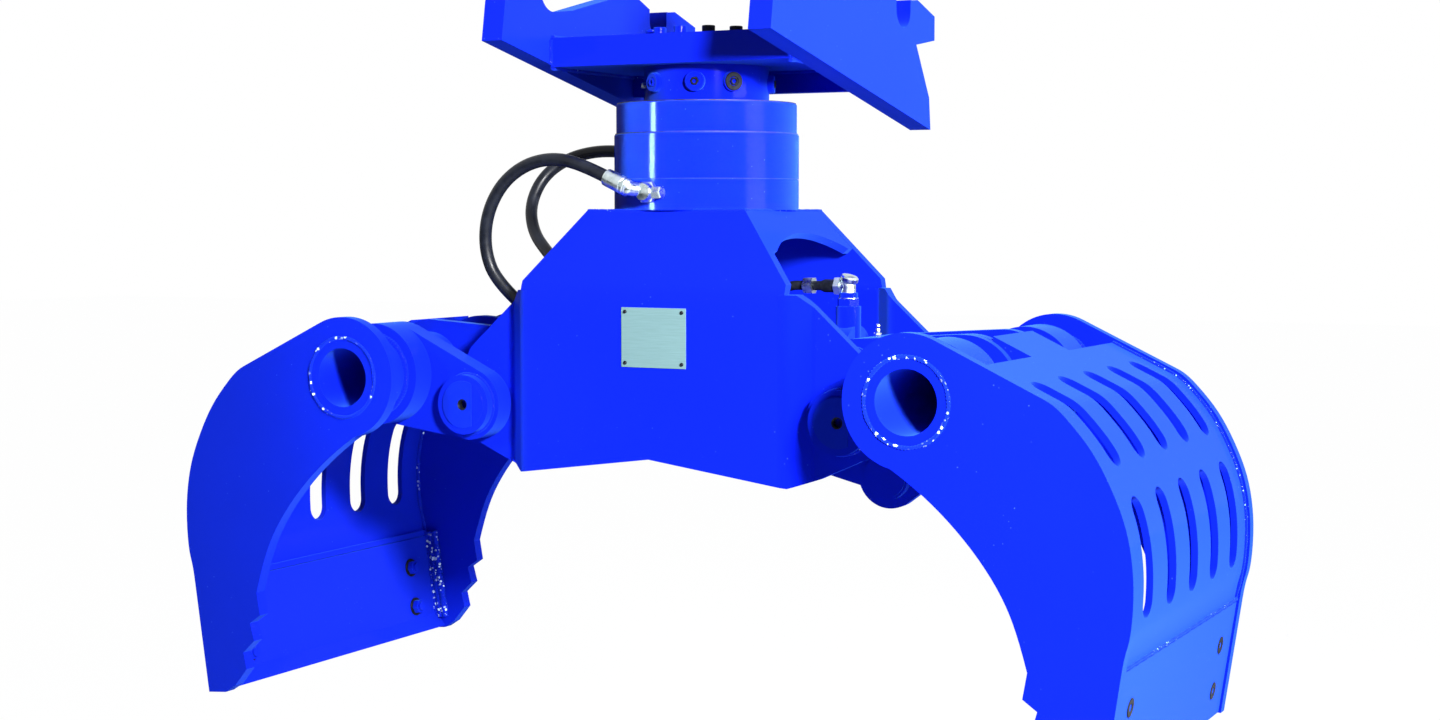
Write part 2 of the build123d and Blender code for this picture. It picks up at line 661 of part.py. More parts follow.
def slot_cutters(ends):
    """Row of long slots across the shell between two contour points."""
    start = Vector(ends[0][0] + TUBE_X, 0, ends[0][1] + TUBE_Z)
    end = Vector(ends[1][0] + TUBE_X, 0, ends[1][1] + TUBE_Z)
    way = (end - start).normalized()
    normal = Vector(-way.Z, 0, way.X)
    plane = Plane(origin=(start + end) * 0.5, x_dir=way, z_dir=normal)
    face = plane * SlotOverall((end - start).length, SLOT_W)
    cutter = extrude(face, SLOT_REACH, both=True)
    first = -SLOT_PITCH * (SLOT_COUNT - 1) / 2
    return [Pos(0, first + i * SLOT_PITCH, 0) * cutter for i in range(SLOT_COUNT)]


def jaw_shell():
    """Curved perforated shell between the side plates."""
    foot, way, normal = straight_foot()
    outer = back_curve(SHELL_INSET)
    inner = back_curve(SHELL_INSET + SHELL_T)
    start_out = foot + way * SHELL_START - normal * SHELL_INSET
    start_in = start_out - normal * SHELL_T
    edges = Line(start_out, outer @ 0) + outer + Line(outer @ 1, inner @ 1) + inner
    edges += Line(inner @ 0, start_in) + Line(start_in, start_out)
    shell = extrude(jaw_place(SHELL_Y) * make_face(edges), 2 * SHELL_Y)
    for cutter in slot_cutters(UPPER_SLOT) + slot_cutters(LOWER_SLOT):
        shell -= cutter
    return shell


def blade_frame():
    """Start, direction and inward normal of the straight blade."""
    seam = Vector(*SEAM)
    tip = Vector(*TIP)
    way = (tip - seam).normalized()
    return seam, tip, way, Vector(way.Y, -way.X)


def blade_prism(start, end, outer, inner, inner_start=None):
    """Bar along the blade between two distances from the seam and two insets."""
    seam, tip, way, inward = blade_frame()
    first = inner if inner_start is None else inner_start
    corners = [seam + way * start + inward * outer, seam + way * end + inward * outer,
               seam + way * end + inward * inner, seam + way * start + inward * first]
    return prism_xz([(TUBE_X + c.X, TUBE_Z + c.Y) for c in corners], -SHELL_Y, SHELL_Y)


def blade_length():
    """Distance from the seam to the tip."""
    seam, tip, way, inward = blade_frame()
    return (tip - seam).length


def jaw_seam_bar():
    """Narrow strip inside, over the joint of shell and blade."""
    return blade_prism(0, SEAM_BAR_H, BLADE_IN, EDGE_IN)


def jaw_blade_plate():
    """Blade plate from the seam to the tip, with countersunk holes."""
    plate = blade_prism(0, blade_length() - SIDE_GAP, BLADE_INSET, BLADE_IN)
    for plane in blade_bolt_planes():
        plate -= plane * blade_bolt_solid(False)
    return plate


def jaw_cutting_edge():
    """Wear plate inside the blade, thicker towards the lip."""
    lip_end = blade_length() - 2 * SIDE_GAP
    lip_start = lip_end - LIP_L
    edge = blade_prism(SEAM_BAR_H + EDGE_GAP, lip_start, BLADE_IN, EDGE_IN)
    edge += blade_prism(lip_start, lip_end, BLADE_IN, LIP_INSET, EDGE_IN)
    for plane in blade_bolt_planes():
        edge -= plane * blade_bolt_solid(False)
    return edge


def blade_bolt_planes():
    """Planes on the blade's outer face at its bolts, looking inwards."""
    seam, tip, way, inward = blade_frame()
    planes = []
    for row in BLADE_BOLT_ROWS:
        at = seam + way * row + inward * BLADE_INSET
        for y in (-BLADE_BOLT_Y, BLADE_BOLT_Y):
            origin = (TUBE_X + at.X, y, TUBE_Z + at.Y)
            planes.append(Plane(origin=origin, x_dir=(0, 1, 0), z_dir=(inward.X, 0, inward.Y)))
    return planes


def blade_bolt_solid(with_nut):
    """Countersunk bolt that stands on its head, with or without its nut."""
    grip = BLADE_T + EDGE_T
    sink = Cone(SINK_R, BLADE_BOLT_R, SINK_DEPTH, align=(Align.CENTER, Align.CENTER, Align.MIN))
    bolt = sink + standing_cylinder(BLADE_BOLT_R, grip)
    if not with_nut:
        return bolt
    bolt += Pos(0, 0, grip) * extrude(RegularPolygon(NUT_R, 6), NUT_H)
    return bolt + standing_cylinder(BLADE_BOLT_R, grip + NUT_H + BOLT_END_L)


def jaw_blade_bolts():
    """Countersunk bolts and nuts that hold the wear plate to the blade."""
    return Compound(children=[plane * blade_bolt_solid(True) for plane in blade_bolt_planes()])


def cylinder_pin():
    """Pin of a cylinder eye with caps outside the lugs."""
    out = LUG_IN_Y + LUG_T
    pin = rod_y(EYE_X, EYE_Z, EYE_PIN_R, -out, out)
    return pin + both_sides(rod_y(EYE_X, EYE_Z, PIN_CAP_R, -out - PIN_CAP_T, -out))


def sync_lug():
    """Lower lug of the right jaw for the synchronising rod."""
    y1 = -SYNC_LUG_Y0
    y0 = y1 - SYNC_LUG_T
    lug = hull_xz([(TUBE_X, TUBE_Z, LEVER_ROOT_R), (SYNC_X, SYNC_Z, SYNC_BOSS_R)], y0, y1)
    lug -= rod_y(TUBE_X, TUBE_Z, TUBE_R, y0, y1)
    return lug - rod_y(SYNC_X, SYNC_Z, SYNC_PIN_R, y0, y1)


def sync_pin():
    """Pin fixed in the lower lug, with a thin cap in front of the rod."""
    y0 = -SYNC_ROD_Y - SYNC_ROD_T - SIDE_GAP
    pin = rod_y(SYNC_X, SYNC_Z, SYNC_PIN_R, y0, -SYNC_LUG_Y0)
    return pin + rod_y(SYNC_X, SYNC_Z, SYNC_CAP_R, y0 - SYNC_CAP_T, y0)


# Cylinder and synchronising rod

def cylinder_barrel():
    """Barrel with its eye on the right jaw and the two port bosses on top."""
    barrel = rod_between((BARREL_START_X, 0, EYE_Z), (BARREL_END_X, 0, EYE_Z), BARREL_R)
    barrel -= rod_y(EYE_X, EYE_Z, EYE_RELIEF_R, -FAR, FAR)
    barrel += rod_y(EYE_X, EYE_Z, EYE_R, -LUG_IN_Y + SIDE_GAP, LUG_IN_Y - SIDE_GAP)
    barrel += rod_z(PORT_X, 0, PORT_BOSS_R, EYE_Z, PORT_TOP_Z - PORT_FITTING_H)
    barrel += rod_z(ROD_PORT_X, 0, PORT_FITTING_R, EYE_Z, EYE_Z + BARREL_R + ROD_PORT_H)
    barrel -= rod_between((BARREL_START_X - BARREL_CAP, 0, EYE_Z), (BARREL_END_X, 0, EYE_Z), BARREL_BORE_R)
    return barrel - rod_y(EYE_X, EYE_Z, EYE_PIN_R + RUN_FIT, -LUG_IN_Y, LUG_IN_Y)


def cylinder_gland():
    """Gland ring screwed into the open end of the barrel."""
    inside = (BARREL_END_X + GLAND_IN, 0, EYE_Z)
    face = (BARREL_END_X, 0, EYE_Z)
    outside = (BARREL_END_X - GLAND_L, 0, EYE_Z)
    ring = rod_between(face, outside, BARREL_R - GLAND_STEP) + rod_between(inside, face, BARREL_BORE_R)
    return ring - rod_between(inside, outside, ROD_R + LOOSE)


def cylinder_rod():
    """Piston rod with its piston inside the barrel."""
    crown_x = BARREL_START_X - BARREL_CAP - PISTON_GAP
    skirt_x = crown_x - PISTON_L
    rod = rod_between((skirt_x, 0, EYE_Z), (ROD_END_IN - EYE_X, 0, EYE_Z), ROD_R)
    return rod + rod_between((crown_x, 0, EYE_Z), (skirt_x, 0, EYE_Z), BARREL_BORE_R - LOOSE)


def cylinder_rod_eye():
    """Eye at the end of the rod, on the left jaw's pin."""
    eye = rod_y(-EYE_X, EYE_Z, EYE_R, -LUG_IN_Y + SIDE_GAP, LUG_IN_Y - SIDE_GAP)
    eye += rod_between((EYE_PIN_R - EYE_X, 0, EYE_Z), (ROD_COLLAR_END - EYE_X, 0, EYE_Z), ROD_COLLAR_R)
    eye -= cylinder_rod()
    return eye - rod_y(-EYE_X, EYE_Z, EYE_PIN_R + RUN_FIT, -LUG_IN_Y, LUG_IN_Y)


def port_fitting():
    """Elbow on the port boss, turned along the barrel."""
    corner = (PORT_X, 0, PORT_LEVEL_Z)
    fitting = rod_z(PORT_X, 0, PORT_FITTING_R, PORT_TOP_Z - PORT_FITTING_H, PORT_TOP_Z)
    fitting += rod_z(PORT_X, 0, PORT_ELBOW_R, PORT_TOP_Z, PORT_LEVEL_Z)
    fitting += Pos(*corner) * Sphere(PORT_ELBOW_R)
    return fitting + rod_between(corner, (PORT_X - PORT_REACH, 0, PORT_LEVEL_Z), PORT_ELBOW_R - SIDE_GAP)


def barrel_pipe():
    """Rigid oil pipe from the elbow along the barrel to the rod-side port."""
    port_z = EYE_Z + BARREL_R + ROD_PORT_H
    route = [(PORT_X - PORT_REACH, 0, PORT_LEVEL_Z), (PORT_X - PIPE_LEVEL_END, 0, PORT_LEVEL_Z),
             (PORT_X - PIPE_DROP_END, 0, port_z + PIPE_LIFT), (ROD_PORT_X, 0, port_z + PIPE_LIFT),
             (ROD_PORT_X, 0, port_z)]
    path = FilletPolyline(*route, radius=[PIPE_BEND_R, PIPE_BEND_R, PIPE_END_R])
    start = Plane(origin=route[0], z_dir=(-1, 0, 0))
    return sweep(start * Circle(PIPE_R), path=path)


def sync_rod():
    """Flat rod that crosses from the right jaw's lower lug to the left jaw's eye."""
    y0 = -SYNC_ROD_Y - SYNC_ROD_T
    y1 = -SYNC_ROD_Y
    rod = hull_xz([(SYNC_X, SYNC_Z, SYNC_ROD_HALF), (-EYE_X, EYE_Z, SYNC_ROD_HALF)], y0, y1)
    rod += rod_y(SYNC_X, SYNC_Z, SYNC_EYE_R, y0, y1)
    rod += rod_y(-EYE_X, EYE_Z, SYNC_CAP_R, y0, y1)
    return rod - rod_y(SYNC_X, SYNC_Z, SYNC_PIN_R + RUN_FIT, y0, y1)


def build():
    """All nodes by name."""
    nodes = {}
    left_cheek = bracket_side_plate(-BRACKET_INNER_X - BRACKET_PLATE_T)
    nodes["adapter_side_plate_left"] = left_cheek
    nodes["adapter_side_plate_right"] = bracket_side_plate(BRACKET_INNER_X)
    nodes["adapter_base_plate"] = bracket_base()
    nodes["adapter_rear_web"] = box(-BRACKET_INNER_X, BRACKET_INNER_X, BASE_HALF_Y, BASE_HALF_Y + REAR_WEB_T,
                                    REAR_WEB_Z0, BASE_TOP)
    nodes["adapter_bolts"] = bracket_bolts()
    nodes["rotor_head"] = rotor_head()
    nodes["rotor_port_plugs"] = Compound(children=port_plug_solids())

    rear_elbow = start_elbow(REAR_HOSE, REAR_FOOT_DEG, REAR_FOOT_Z)
    front_elbow = start_elbow(FRONT_HOSE, FRONT_FOOT_DEG, FRONT_FOOT_Z)
    nodes["rotator_lower_ring"] = housing_ring(ROTATOR_R, 0, RING_Z1) - front_elbow
    nodes["rotator_middle_ring"] = middle_ring() - rear_elbow
    nodes["rotator_top_ring"] = housing_ring(TOP_RING_R, RING_Z2, RING_Z3)
    nodes["hose_elbows"] = Compound(children=[front_elbow, rear_elbow])

    front = frame_front_plate()
    rear = mirror(front, about=Plane.XZ)
    top_plate = frame_top_plate(front, rear)
    web = frame_slope_web(front, rear, top_plate)
    block = hose_block(front)
    nodes["frame_front_plate"] = front
    nodes["frame_rear_plate"] = rear
    nodes["frame_top_plate"] = top_plate
    nodes["frame_slope_web_right"] = web
    nodes["frame_slope_web_left"] = mirror(web, about=Plane.YZ)
    nodes["frame_pivot_hubs_right"] = pivot_hubs()
    nodes["frame_pivot_hubs_left"] = mirror(pivot_hubs(), about=Plane.YZ)
    nodes["frame_rating_plate"] = rating_plate()
    nodes["hose_block"] = block
    nodes["hose_front"] = hose_tube(FRONT_HOSE)
    nodes["hose_rear"] = hose_tube(REAR_HOSE)
    nodes["hose_end_fittings"] = Compound(children=[end_fitting(FRONT_HOSE, FRONT_END_REACH, block),
                                                    end_fitting(REAR_HOSE, REAR_END_REACH, block)])

    side = jaw_side_plate()
    lever = jaw_lever()
    pin = pivot_pin()
    keeper = keeper_solid()
    jaw = {
        "side_plate_front": side,
        "side_plate_rear": mirror(side, about=Plane.XZ),
        "torque_tube": torque_tube(),
        "lever_front": lever,
        "lever_rear": mirror(lever, about=Plane.XZ),
        "pivot_pins": Compound(children=[pin, mirror(pin, about=Plane.XZ)]),
        "pin_keepers": Compound(children=[keeper, mirror(keeper, about=Plane.XZ)]),
        "cylinder_lugs": cylinder_lugs(),
        "cylinder_pin": cylinder_pin(),
        "shell": jaw_shell(),
        "seam_bar": jaw_seam_bar(),
        "blade_plate": jaw_blade_plate(),
        "cutting_edge": jaw_cutting_edge(),
        "blade_nuts": jaw_blade_bolts(),
    }
    for name, shape in jaw.items():
        nodes["jaw_right_" + name] = shape
        nodes["jaw_left_" + name] = mirror(shape, about=Plane.YZ)
    nodes["jaw_right_sync_lug"] = sync_lug()
    nodes["jaw_right_sync_pin"] = sync_pin()

    nodes["cylinder_barrel"] = cylinder_barrel()
    nodes["cylinder_gland"] = cylinder_gland()
    nodes["cylinder_rod"] = cylinder_rod()
    nodes["cylinder_rod_eye"] = cylinder_rod_eye()
    nodes["cylinder_port_elbow"] = port_fitting()
    nodes["cylinder_pipe"] = barrel_pipe()
    nodes["sync_rod"] = sync_rod()
    return nodes


os.makedirs("parts", exist_ok=True)
for node, shape in build().items():
    export_step(shape, "parts/" + node + ".step")
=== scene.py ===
import bpy
import bmesh
import math
from mathutils import Matrix, Vector


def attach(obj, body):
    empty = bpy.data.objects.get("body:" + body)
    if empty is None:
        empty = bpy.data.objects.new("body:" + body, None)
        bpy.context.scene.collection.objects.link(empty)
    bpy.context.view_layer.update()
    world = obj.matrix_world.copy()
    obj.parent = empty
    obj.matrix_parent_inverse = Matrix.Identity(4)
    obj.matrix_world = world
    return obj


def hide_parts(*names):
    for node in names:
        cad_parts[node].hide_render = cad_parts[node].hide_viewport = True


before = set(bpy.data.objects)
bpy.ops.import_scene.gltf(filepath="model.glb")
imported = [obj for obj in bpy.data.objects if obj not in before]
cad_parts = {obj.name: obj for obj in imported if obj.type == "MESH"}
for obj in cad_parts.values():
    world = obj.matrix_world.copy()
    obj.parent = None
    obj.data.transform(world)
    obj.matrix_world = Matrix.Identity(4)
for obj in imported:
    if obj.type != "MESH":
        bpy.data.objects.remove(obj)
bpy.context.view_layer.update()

# Place of the photographer: to the right of the grapple at about its own height,
# looking slightly down with a lens that keeps the whole bracket and both jaws in view.
LENS = 53.34
CAMERA_PLACE = (1.9627, -3.6932, -0.008)
CAMERA_DOWN = 3.91
CAMERA_TURN = 27.63
camera_data = bpy.data.cameras.new("photographer")
camera_data.sensor_width = 36.0
camera_data.lens = LENS
camera_data.clip_end = 60.0
camera = bpy.data.objects.new("photographer", camera_data)
camera.location = CAMERA_PLACE
camera.rotation_euler = (math.radians(90.0 - CAMERA_DOWN), 0.0, math.radians(CAMERA_TURN))
bpy.context.collection.objects.link(camera)
bpy.context.scene.camera = camera
bpy.context.scene.view_settings.view_transform = "Standard"


# Black high-pressure hoses, 25 mm across the rubber cover. Both leave the rotator
# housing, loop out over the left side and go down into the frame.
HOSE_DIAMETER = 0.025


def set_values(node, values):
    for socket, value in values.items():
        node.inputs[socket].default_value = value


def grain(tree, scale, detail, rough, place=None):
    """Noise fixed to the piece, or laid along another place's socket."""
    node = tree.nodes.new("ShaderNodeTexNoise")
    set_values(node, {"Scale": scale, "Detail": detail, "Roughness": rough})
    place = place or tree.nodes.new("ShaderNodeTexCoord").outputs["Object"]
    tree.links.new(place, node.inputs["Vector"])
    return node.outputs["Fac"]


def grey(value):
    return (value, value, value, 1)


def ramp_node(tree, source, low, high, first=(0, 0, 0, 1), last=(1, 1, 1, 1)):
    node = tree.nodes.new("ShaderNodeValToRGB")
    for element, position, colour in zip(node.color_ramp.elements, (low, high), (first, last)):
        element.position = position
        element.color = colour
    tree.links.new(source, node.inputs["Fac"])
    return node.outputs["Color"]


def steer(tree, shader, socket, source, low, high, first, last):
    """Lets a grain move one input of the shader between two values."""
    tree.links.new(ramp_node(tree, source, low, high, first, last), shader.inputs[socket])


def relief_on(tree, shader, height, strength, distance):
    node = tree.nodes.new("ShaderNodeBump")
    set_values(node, {"Strength": strength, "Distance": distance})
    tree.links.new(height, node.inputs["Height"])
    tree.links.new(node.outputs["Normal"], shader.inputs["Normal"])


def new_material(name, colour, metallic, roughness):
    material = bpy.data.materials.new(name)
    material.use_nodes = True
    shader = material.node_tree.nodes["Principled BSDF"]
    set_values(shader, {"Base Color": (*colour, 1.0), "Metallic": metallic, "Roughness": roughness})
    material.diffuse_color = (*colour, 1.0)
    return material, material.node_tree, shader


rubber, rubber_tree, rubber_shader = new_material("hose rubber", (0.005, 0.007, 0.012), 0.0, 0.42)
rubber_shader.inputs["Specular IOR Level"].default_value = 0.25
cover_patches = grain(rubber_tree, 35.0, 5.0, 0.6)
steer(rubber_tree, rubber_shader, "Roughness", cover_patches, 0.3, 0.75, grey(0.30), grey(0.55))
steer(rubber_tree, rubber_shader, "Base Color", cover_patches, 0.35, 0.8,
      (0.003, 0.004, 0.008, 1), (0.010, 0.013, 0.022, 1))
relief_on(rubber_tree, rubber_shader, grain(rubber_tree, 900.0, 4.0, 0.6), 0.35, 0.0004)


def lay_hose(name, points, node):
    curve = bpy.data.curves.new(name, "CURVE")
    curve.dimensions = "3D"
    spline = curve.splines.new("NURBS")
    spline.points.add(len(points) - 1)
    for point, place in zip(spline.points, points):
        point.co = (*place, 1.0)
    spline.order_u = 3
    spline.use_endpoint_u = True
    spline.resolution_u = 16
    curve.bevel_depth = HOSE_DIAMETER / 2
    curve.bevel_resolution = 8
    curve.materials.append(rubber)
    hose = bpy.data.objects.new(name, curve)
    bpy.context.collection.objects.link(hose)
    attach(hose, "frame")
    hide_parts(node)


FRONT_HOSE_ROUTE = ((-0.100, -0.206, 0.060), (-0.166, -0.201, 0.089), (-0.237, -0.194, 0.100),
                    (-0.305, -0.187, 0.086), (-0.363, -0.180, 0.047), (-0.400, -0.173, -0.013),
                    (-0.409, -0.165, -0.080), (-0.388, -0.157, -0.140), (-0.340, -0.148, -0.182))
lay_hose("front_hose_cover", FRONT_HOSE_ROUTE, "hose_front")
lay_hose("rear_hose_cover",
         ((-0.196, 0.152, 0.106), (-0.262, 0.150, 0.120), (-0.330, 0.140, 0.124),
          (-0.394, 0.121, 0.108), (-0.439, 0.095, 0.069), (-0.451, 0.066, 0.010),
          (-0.424, 0.036, -0.045), (-0.370, 0.004, -0.086), (-0.310, -0.026, -0.122),
          (-0.266, -0.050, -0.166)),
         "hose_rear")


# Plain studio: a white floor well below the hanging grapple, a white surround, a key
# lamp at the front right, large soft ones at the right, behind and above, a weak one on
# the left jaw, and a narrow strip that only shows as the streak on the turned rings.
FLOOR_Z = -1.7
FLOOR_HALF = 30.0
FLOOR_GLOW = 1.06
FLOOR_GLOW_SHARE = 0.93


def math_node(tree, operation, first, second):
    node = tree.nodes.new("ShaderNodeMath")
    node.operation = operation
    for socket, value in zip(node.inputs, (first, second)):
        if isinstance(value, float):
            socket.default_value = value
        else:
            tree.links.new(value, socket)
    return node.outputs[0]


def seen_directly(tree, path):
    """1 where the eye meets the surface itself or looks through glass."""
    return math_node(tree, "MAXIMUM", path.outputs["Is Camera Ray"], path.outputs["Is Transmission Ray"])


def mix_surfaces(tree, share, first, second, output):
    mix = tree.nodes.new("ShaderNodeMixShader")
    tree.links.new(share, mix.inputs["Fac"])
    tree.links.new(first.outputs[0], mix.inputs[1])
    tree.links.new(second.outputs[0], mix.inputs[2])
    tree.links.new(mix.outputs[0], tree.nodes[output].inputs["Surface"])


world = bpy.data.worlds.new("white studio")
world.use_nodes = True
bpy.context.scene.world = world
sky = world.node_tree
sky_light = sky.nodes["Background"]
set_values(sky_light, {"Color": (0.62, 0.76, 1.0, 1.0), "Strength": 0.035})
sky_white = sky.nodes.new("ShaderNodeBackground")
set_values(sky_white, {"Color": (1.0, 1.0, 1.0, 1.0), "Strength": 1.0})
sky_path = sky.nodes.new("ShaderNodeLightPath")
sky_share = math_node(sky, "MAXIMUM", seen_directly(sky, sky_path), sky_path.outputs["Is Glossy Ray"])
mix_surfaces(sky, sky_share, sky_light, sky_white, "World Output")

floor_material, floor_tree, floor_shader = new_material("studio floor", (0.55, 0.57, 0.60), 0.0, 0.9)
floor_white = floor_tree.nodes.new("ShaderNodeEmission")
floor_white.inputs["Strength"].default_value = FLOOR_GLOW
floor_seen = seen_directly(floor_tree, floor_tree.nodes.new("ShaderNodeLightPath"))
floor_share = math_node(floor_tree, "MULTIPLY", floor_seen, FLOOR_GLOW_SHARE)
mix_surfaces(floor_tree, floor_share, floor_shader, floor_white, "Material Output")
floor_mesh = bpy.data.meshes.new("studio floor")
floor_corners = [(x * FLOOR_HALF, y * FLOOR_HALF, FLOOR_Z)
                 for x, y in ((-1, -1), (1, -1), (1, 1), (-1, 1))]
floor_mesh.from_pydata(floor_corners, [], [(0, 1, 2, 3)])
floor_mesh.materials.append(floor_material)
floor = bpy.data.objects.new("studio_floor", floor_mesh)
bpy.context.collection.objects.link(floor)


def hang_lamp(name, place, target, width, height, power):
    data = bpy.data.lights.new(name, "AREA")
    data.shape = "RECTANGLE"
    data.size = width
    data.size_y = height
    data.energy = power
    lamp = bpy.data.objects.new(name, data)
    lamp.location = place
    lamp.rotation_euler = (Vector(target) - Vector(place)).to_track_quat("-Z", "Y").to_euler()
    bpy.context.collection.objects.link(lamp)
    return lamp


hang_lamp("key lamp", (2.1, -2.0, 0.75), (0.0, 0.0, -0.3), 0.35, 0.35, 310.0)
jaw_lamp = hang_lamp("left jaw lamp", (-1.0, -2.0, 0.45), (-0.44, -0.40, -0.35), 0.2, 0.2, 0.5)
jaw_lamp.data.color = (0.45, 0.65, 1.0)
jaw_lamp.visible_glossy = False
jaw_lamp.data.spread = math.radians(22.0)
hang_lamp("right softbox", (3.2, 0.0, 0.4), (0.5, 0.0, -0.3), 1.5, 1.5, 122.0)
rear_lamp = hang_lamp("rear softbox", (1.6, 3.0, 0.8), (0.5, 0.0, -0.3), 1.8, 1.8, 89.0)
rear_lamp.visible_glossy = False
hang_lamp("top softbox", (1.2, 0.6, 2.6), (0.3, 0.0, 0.0), 1.6, 1.6, 45.0)
strip_lamp = hang_lamp("strip lamp", (-2.28, -2.58, 0.15), (0.0, 0.0, 0.1), 0.42, 1.8, 1100.0)
strip_lamp.data.color = (0.55, 1.0, 1.0)
strip_lamp.visible_diffuse = False
strip_catch = bpy.data.collections.new("turned rings in the strip light")
strip_lamp.light_linking.receiver_collection = strip_catch


# Blue machine paint over welded plate: a sprayed finish with a fine orange peel, faint
# clouds of shade, pale specks in patches (dust on the plain paint, painted glints on the welds) and a
# soft sheen at flat angles.
spray = bpy.data.node_groups.new("sprayed coat", "ShaderNodeTree")
for socket, way, kind in (("Colour", "INPUT", "Color"), ("Speck Colour", "INPUT", "Color"),
                          ("Speck Scale", "INPUT", "Float"), ("Speck Size", "INPUT", "Float"),
                          ("Specks", "INPUT", "Float"), ("Colour", "OUTPUT", "Color"),
                          ("Roughness", "OUTPUT", "Float"), ("Height", "OUTPUT", "Float")):
    spray.interface.new_socket(socket, in_out=way, socket_type=f"NodeSocket{kind}")
spray_in = spray.nodes.new("NodeGroupInput")
spray_out = spray.nodes.new("NodeGroupOutput")
shaded = spray.nodes.new("ShaderNodeMixRGB")
shaded.blend_type = "MULTIPLY"
shaded.inputs["Fac"].default_value = 1.0
spray.links.new(spray_in.outputs["Colour"], shaded.inputs["Color1"])
steer(spray, shaded, "Color2", grain(spray, 3.2, 4.0, 0.55), 0.3, 0.72, (0.86, 0.86, 0.90, 1), grey(1.0))
dots = spray.nodes.new("ShaderNodeTexVoronoi")
spray.links.new(spray.nodes.new("ShaderNodeTexCoord").outputs["Object"], dots.inputs["Vector"])
spray.links.new(spray_in.outputs["Speck Scale"], dots.inputs["Scale"])
dot_depth = math_node(spray, "SUBTRACT", spray_in.outputs["Speck Size"], dots.outputs["Distance"])
dot_mask = ramp_node(spray, dot_depth, 0.0, 0.05)
field_mask = ramp_node(spray, grain(spray, 9.0, 3.0, 0.6), 0.50, 0.62)
dot_share = math_node(spray, "MULTIPLY", dot_mask, field_mask)
dot_amount = math_node(spray, "MULTIPLY", dot_share, spray_in.outputs["Specks"])
speckled = spray.nodes.new("ShaderNodeMixRGB")
spray.links.new(spray_in.outputs["Speck Colour"], speckled.inputs["Color2"])
spray.links.new(dot_amount, speckled.inputs["Fac"])
spray.links.new(shaded.outputs["Color"], speckled.inputs["Color1"])
spray.links.new(speckled.outputs["Color"], spray_out.inputs["Colour"])
steer(spray, spray_out, "Roughness", grain(spray, 14.0, 5.0, 0.6), 0.3, 0.75, grey(0.34), grey(0.50))
peel_height = math_node(spray, "MULTIPLY", grain(spray, 240.0, 2.0, 0.5), 0.3)
spray.links.new(math_node(spray, "ADD", peel_height, dot_amount), spray_out.inputs["Height"])


def paint_material(name, colour, specks, speck_scale=60.0, speck_colour=(0.10, 0.22, 0.95),
                   relief=0.2, speck_size=0.09):
    material, tree, shader = new_material(name, colour, 0.0, 0.40)
    coat = tree.nodes.new("ShaderNodeGroup")
    coat.node_tree = spray
    set_values(coat, {"Colour": (*colour, 1.0), "Speck Colour": (*speck_colour, 1.0),
                      "Speck Scale": speck_scale, "Speck Size": speck_size, "Specks": specks})
    tree.links.new(coat.outputs["Colour"], shader.inputs["Base Color"])
    tree.links.new(coat.outputs["Roughness"], shader.inputs["Roughness"])
    relief_on(tree, shader, coat.outputs["Height"], relief, 0.0008)
    set_values(shader, {"Specular IOR Level": 0.0, "Coat Weight": 0.05, "Coat Roughness": 0.10,
                        "Sheen Weight": 0.19, "Sheen Roughness": 0.6,
                        "Sheen Tint": (0.11, 0.43, 1.0, 1.0)})
    return material


def finish_nodes(names, material):
    for name in names:
        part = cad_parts[name]
        if not part.material_slots:
            part.data.materials.append(material)
        for place in part.material_slots:
            place.material = material


blue = paint_material("blue machine paint", (0.001, 0.005, 0.50), 0.30)
finish_nodes([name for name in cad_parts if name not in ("hose_front", "hose_rear")], blue)


# Bracket on the machine: flame-cut cheeks in the same blue, a base plate between them,
# socket-head screws round the rotator, and the head with its oil port plugs.
SCREW_COUNT = 12
SCREW_CIRCLE = 0.106
SCREW_TOP_Z = 0.348
SCREW_HEIGHT = 0.0155
SCREW_R = 0.0126
SCREW_SOCKET_R = 0.0060
BLACK_SCREWS = (0, 1, 10, 11)
PLUG_Z = 0.243
PLUG_FACE_R = 0.130
PLUG_R = 0.0178
PLUG_DEGREES = (-114.0, -72.0, -39.0, 20.0)
BLACK_PLUG = 2
BLEED_DEGREES = -137.0
BLEED_Z = 0.240
BLEED_SEAT_R = 0.1212
EDGE_BREAK = 0.0012
ROUND_FROM_SIDES = 8
CRISP_DEGREES = 35.0


def mesh_from(build, name, smooth):
    bmesh.ops.recalc_face_normals(build, faces=build.faces)
    for face in build.faces:
        face.smooth = smooth
    mesh = bpy.data.meshes.new(name)
    build.to_mesh(mesh)
    build.free()
    return mesh


def lathe_piece(name, profile, place, axis, material, body, sides):
    """Closed turned piece: profile holds (radius, height) along the axis."""
    build = bmesh.new()
    rows = []
    for radius, height in profile:
        if radius < 1e-6:
            rows.append([build.verts.new((0.0, 0.0, height))])
            continue
        rows.append([build.verts.new((radius * math.cos(math.tau * k / sides),
                                      radius * math.sin(math.tau * k / sides), height))
                     for k in range(sides)])
    for low_row, high_row in zip(rows, rows[1:]):
        for k in range(sides):
            after = (k + 1) % sides
            if len(low_row) == 1:
                build.faces.new((low_row[0], high_row[after], high_row[k]))
            elif len(high_row) == 1:
                build.faces.new((low_row[k], low_row[after], high_row[0]))
            else:
                build.faces.new((low_row[k], low_row[after], high_row[after], high_row[k]))
    is_round = sides > ROUND_FROM_SIDES
    mesh = mesh_from(build, name, is_round)
    mesh.materials.append(material)
    piece = bpy.data.objects.new(name, mesh)
    bpy.context.collection.objects.link(piece)
    turned_to_axis = Vector(axis).to_track_quat("Z", "Y").to_matrix().to_4x4()
    piece.matrix_world = Matrix.Translation(place) @ turned_to_axis
    if is_round:
        edges = piece.modifiers.new("crisp edges", "EDGE_SPLIT")
        edges.split_angle = math.radians(CRISP_DEGREES)
    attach(piece, body)
    return piece


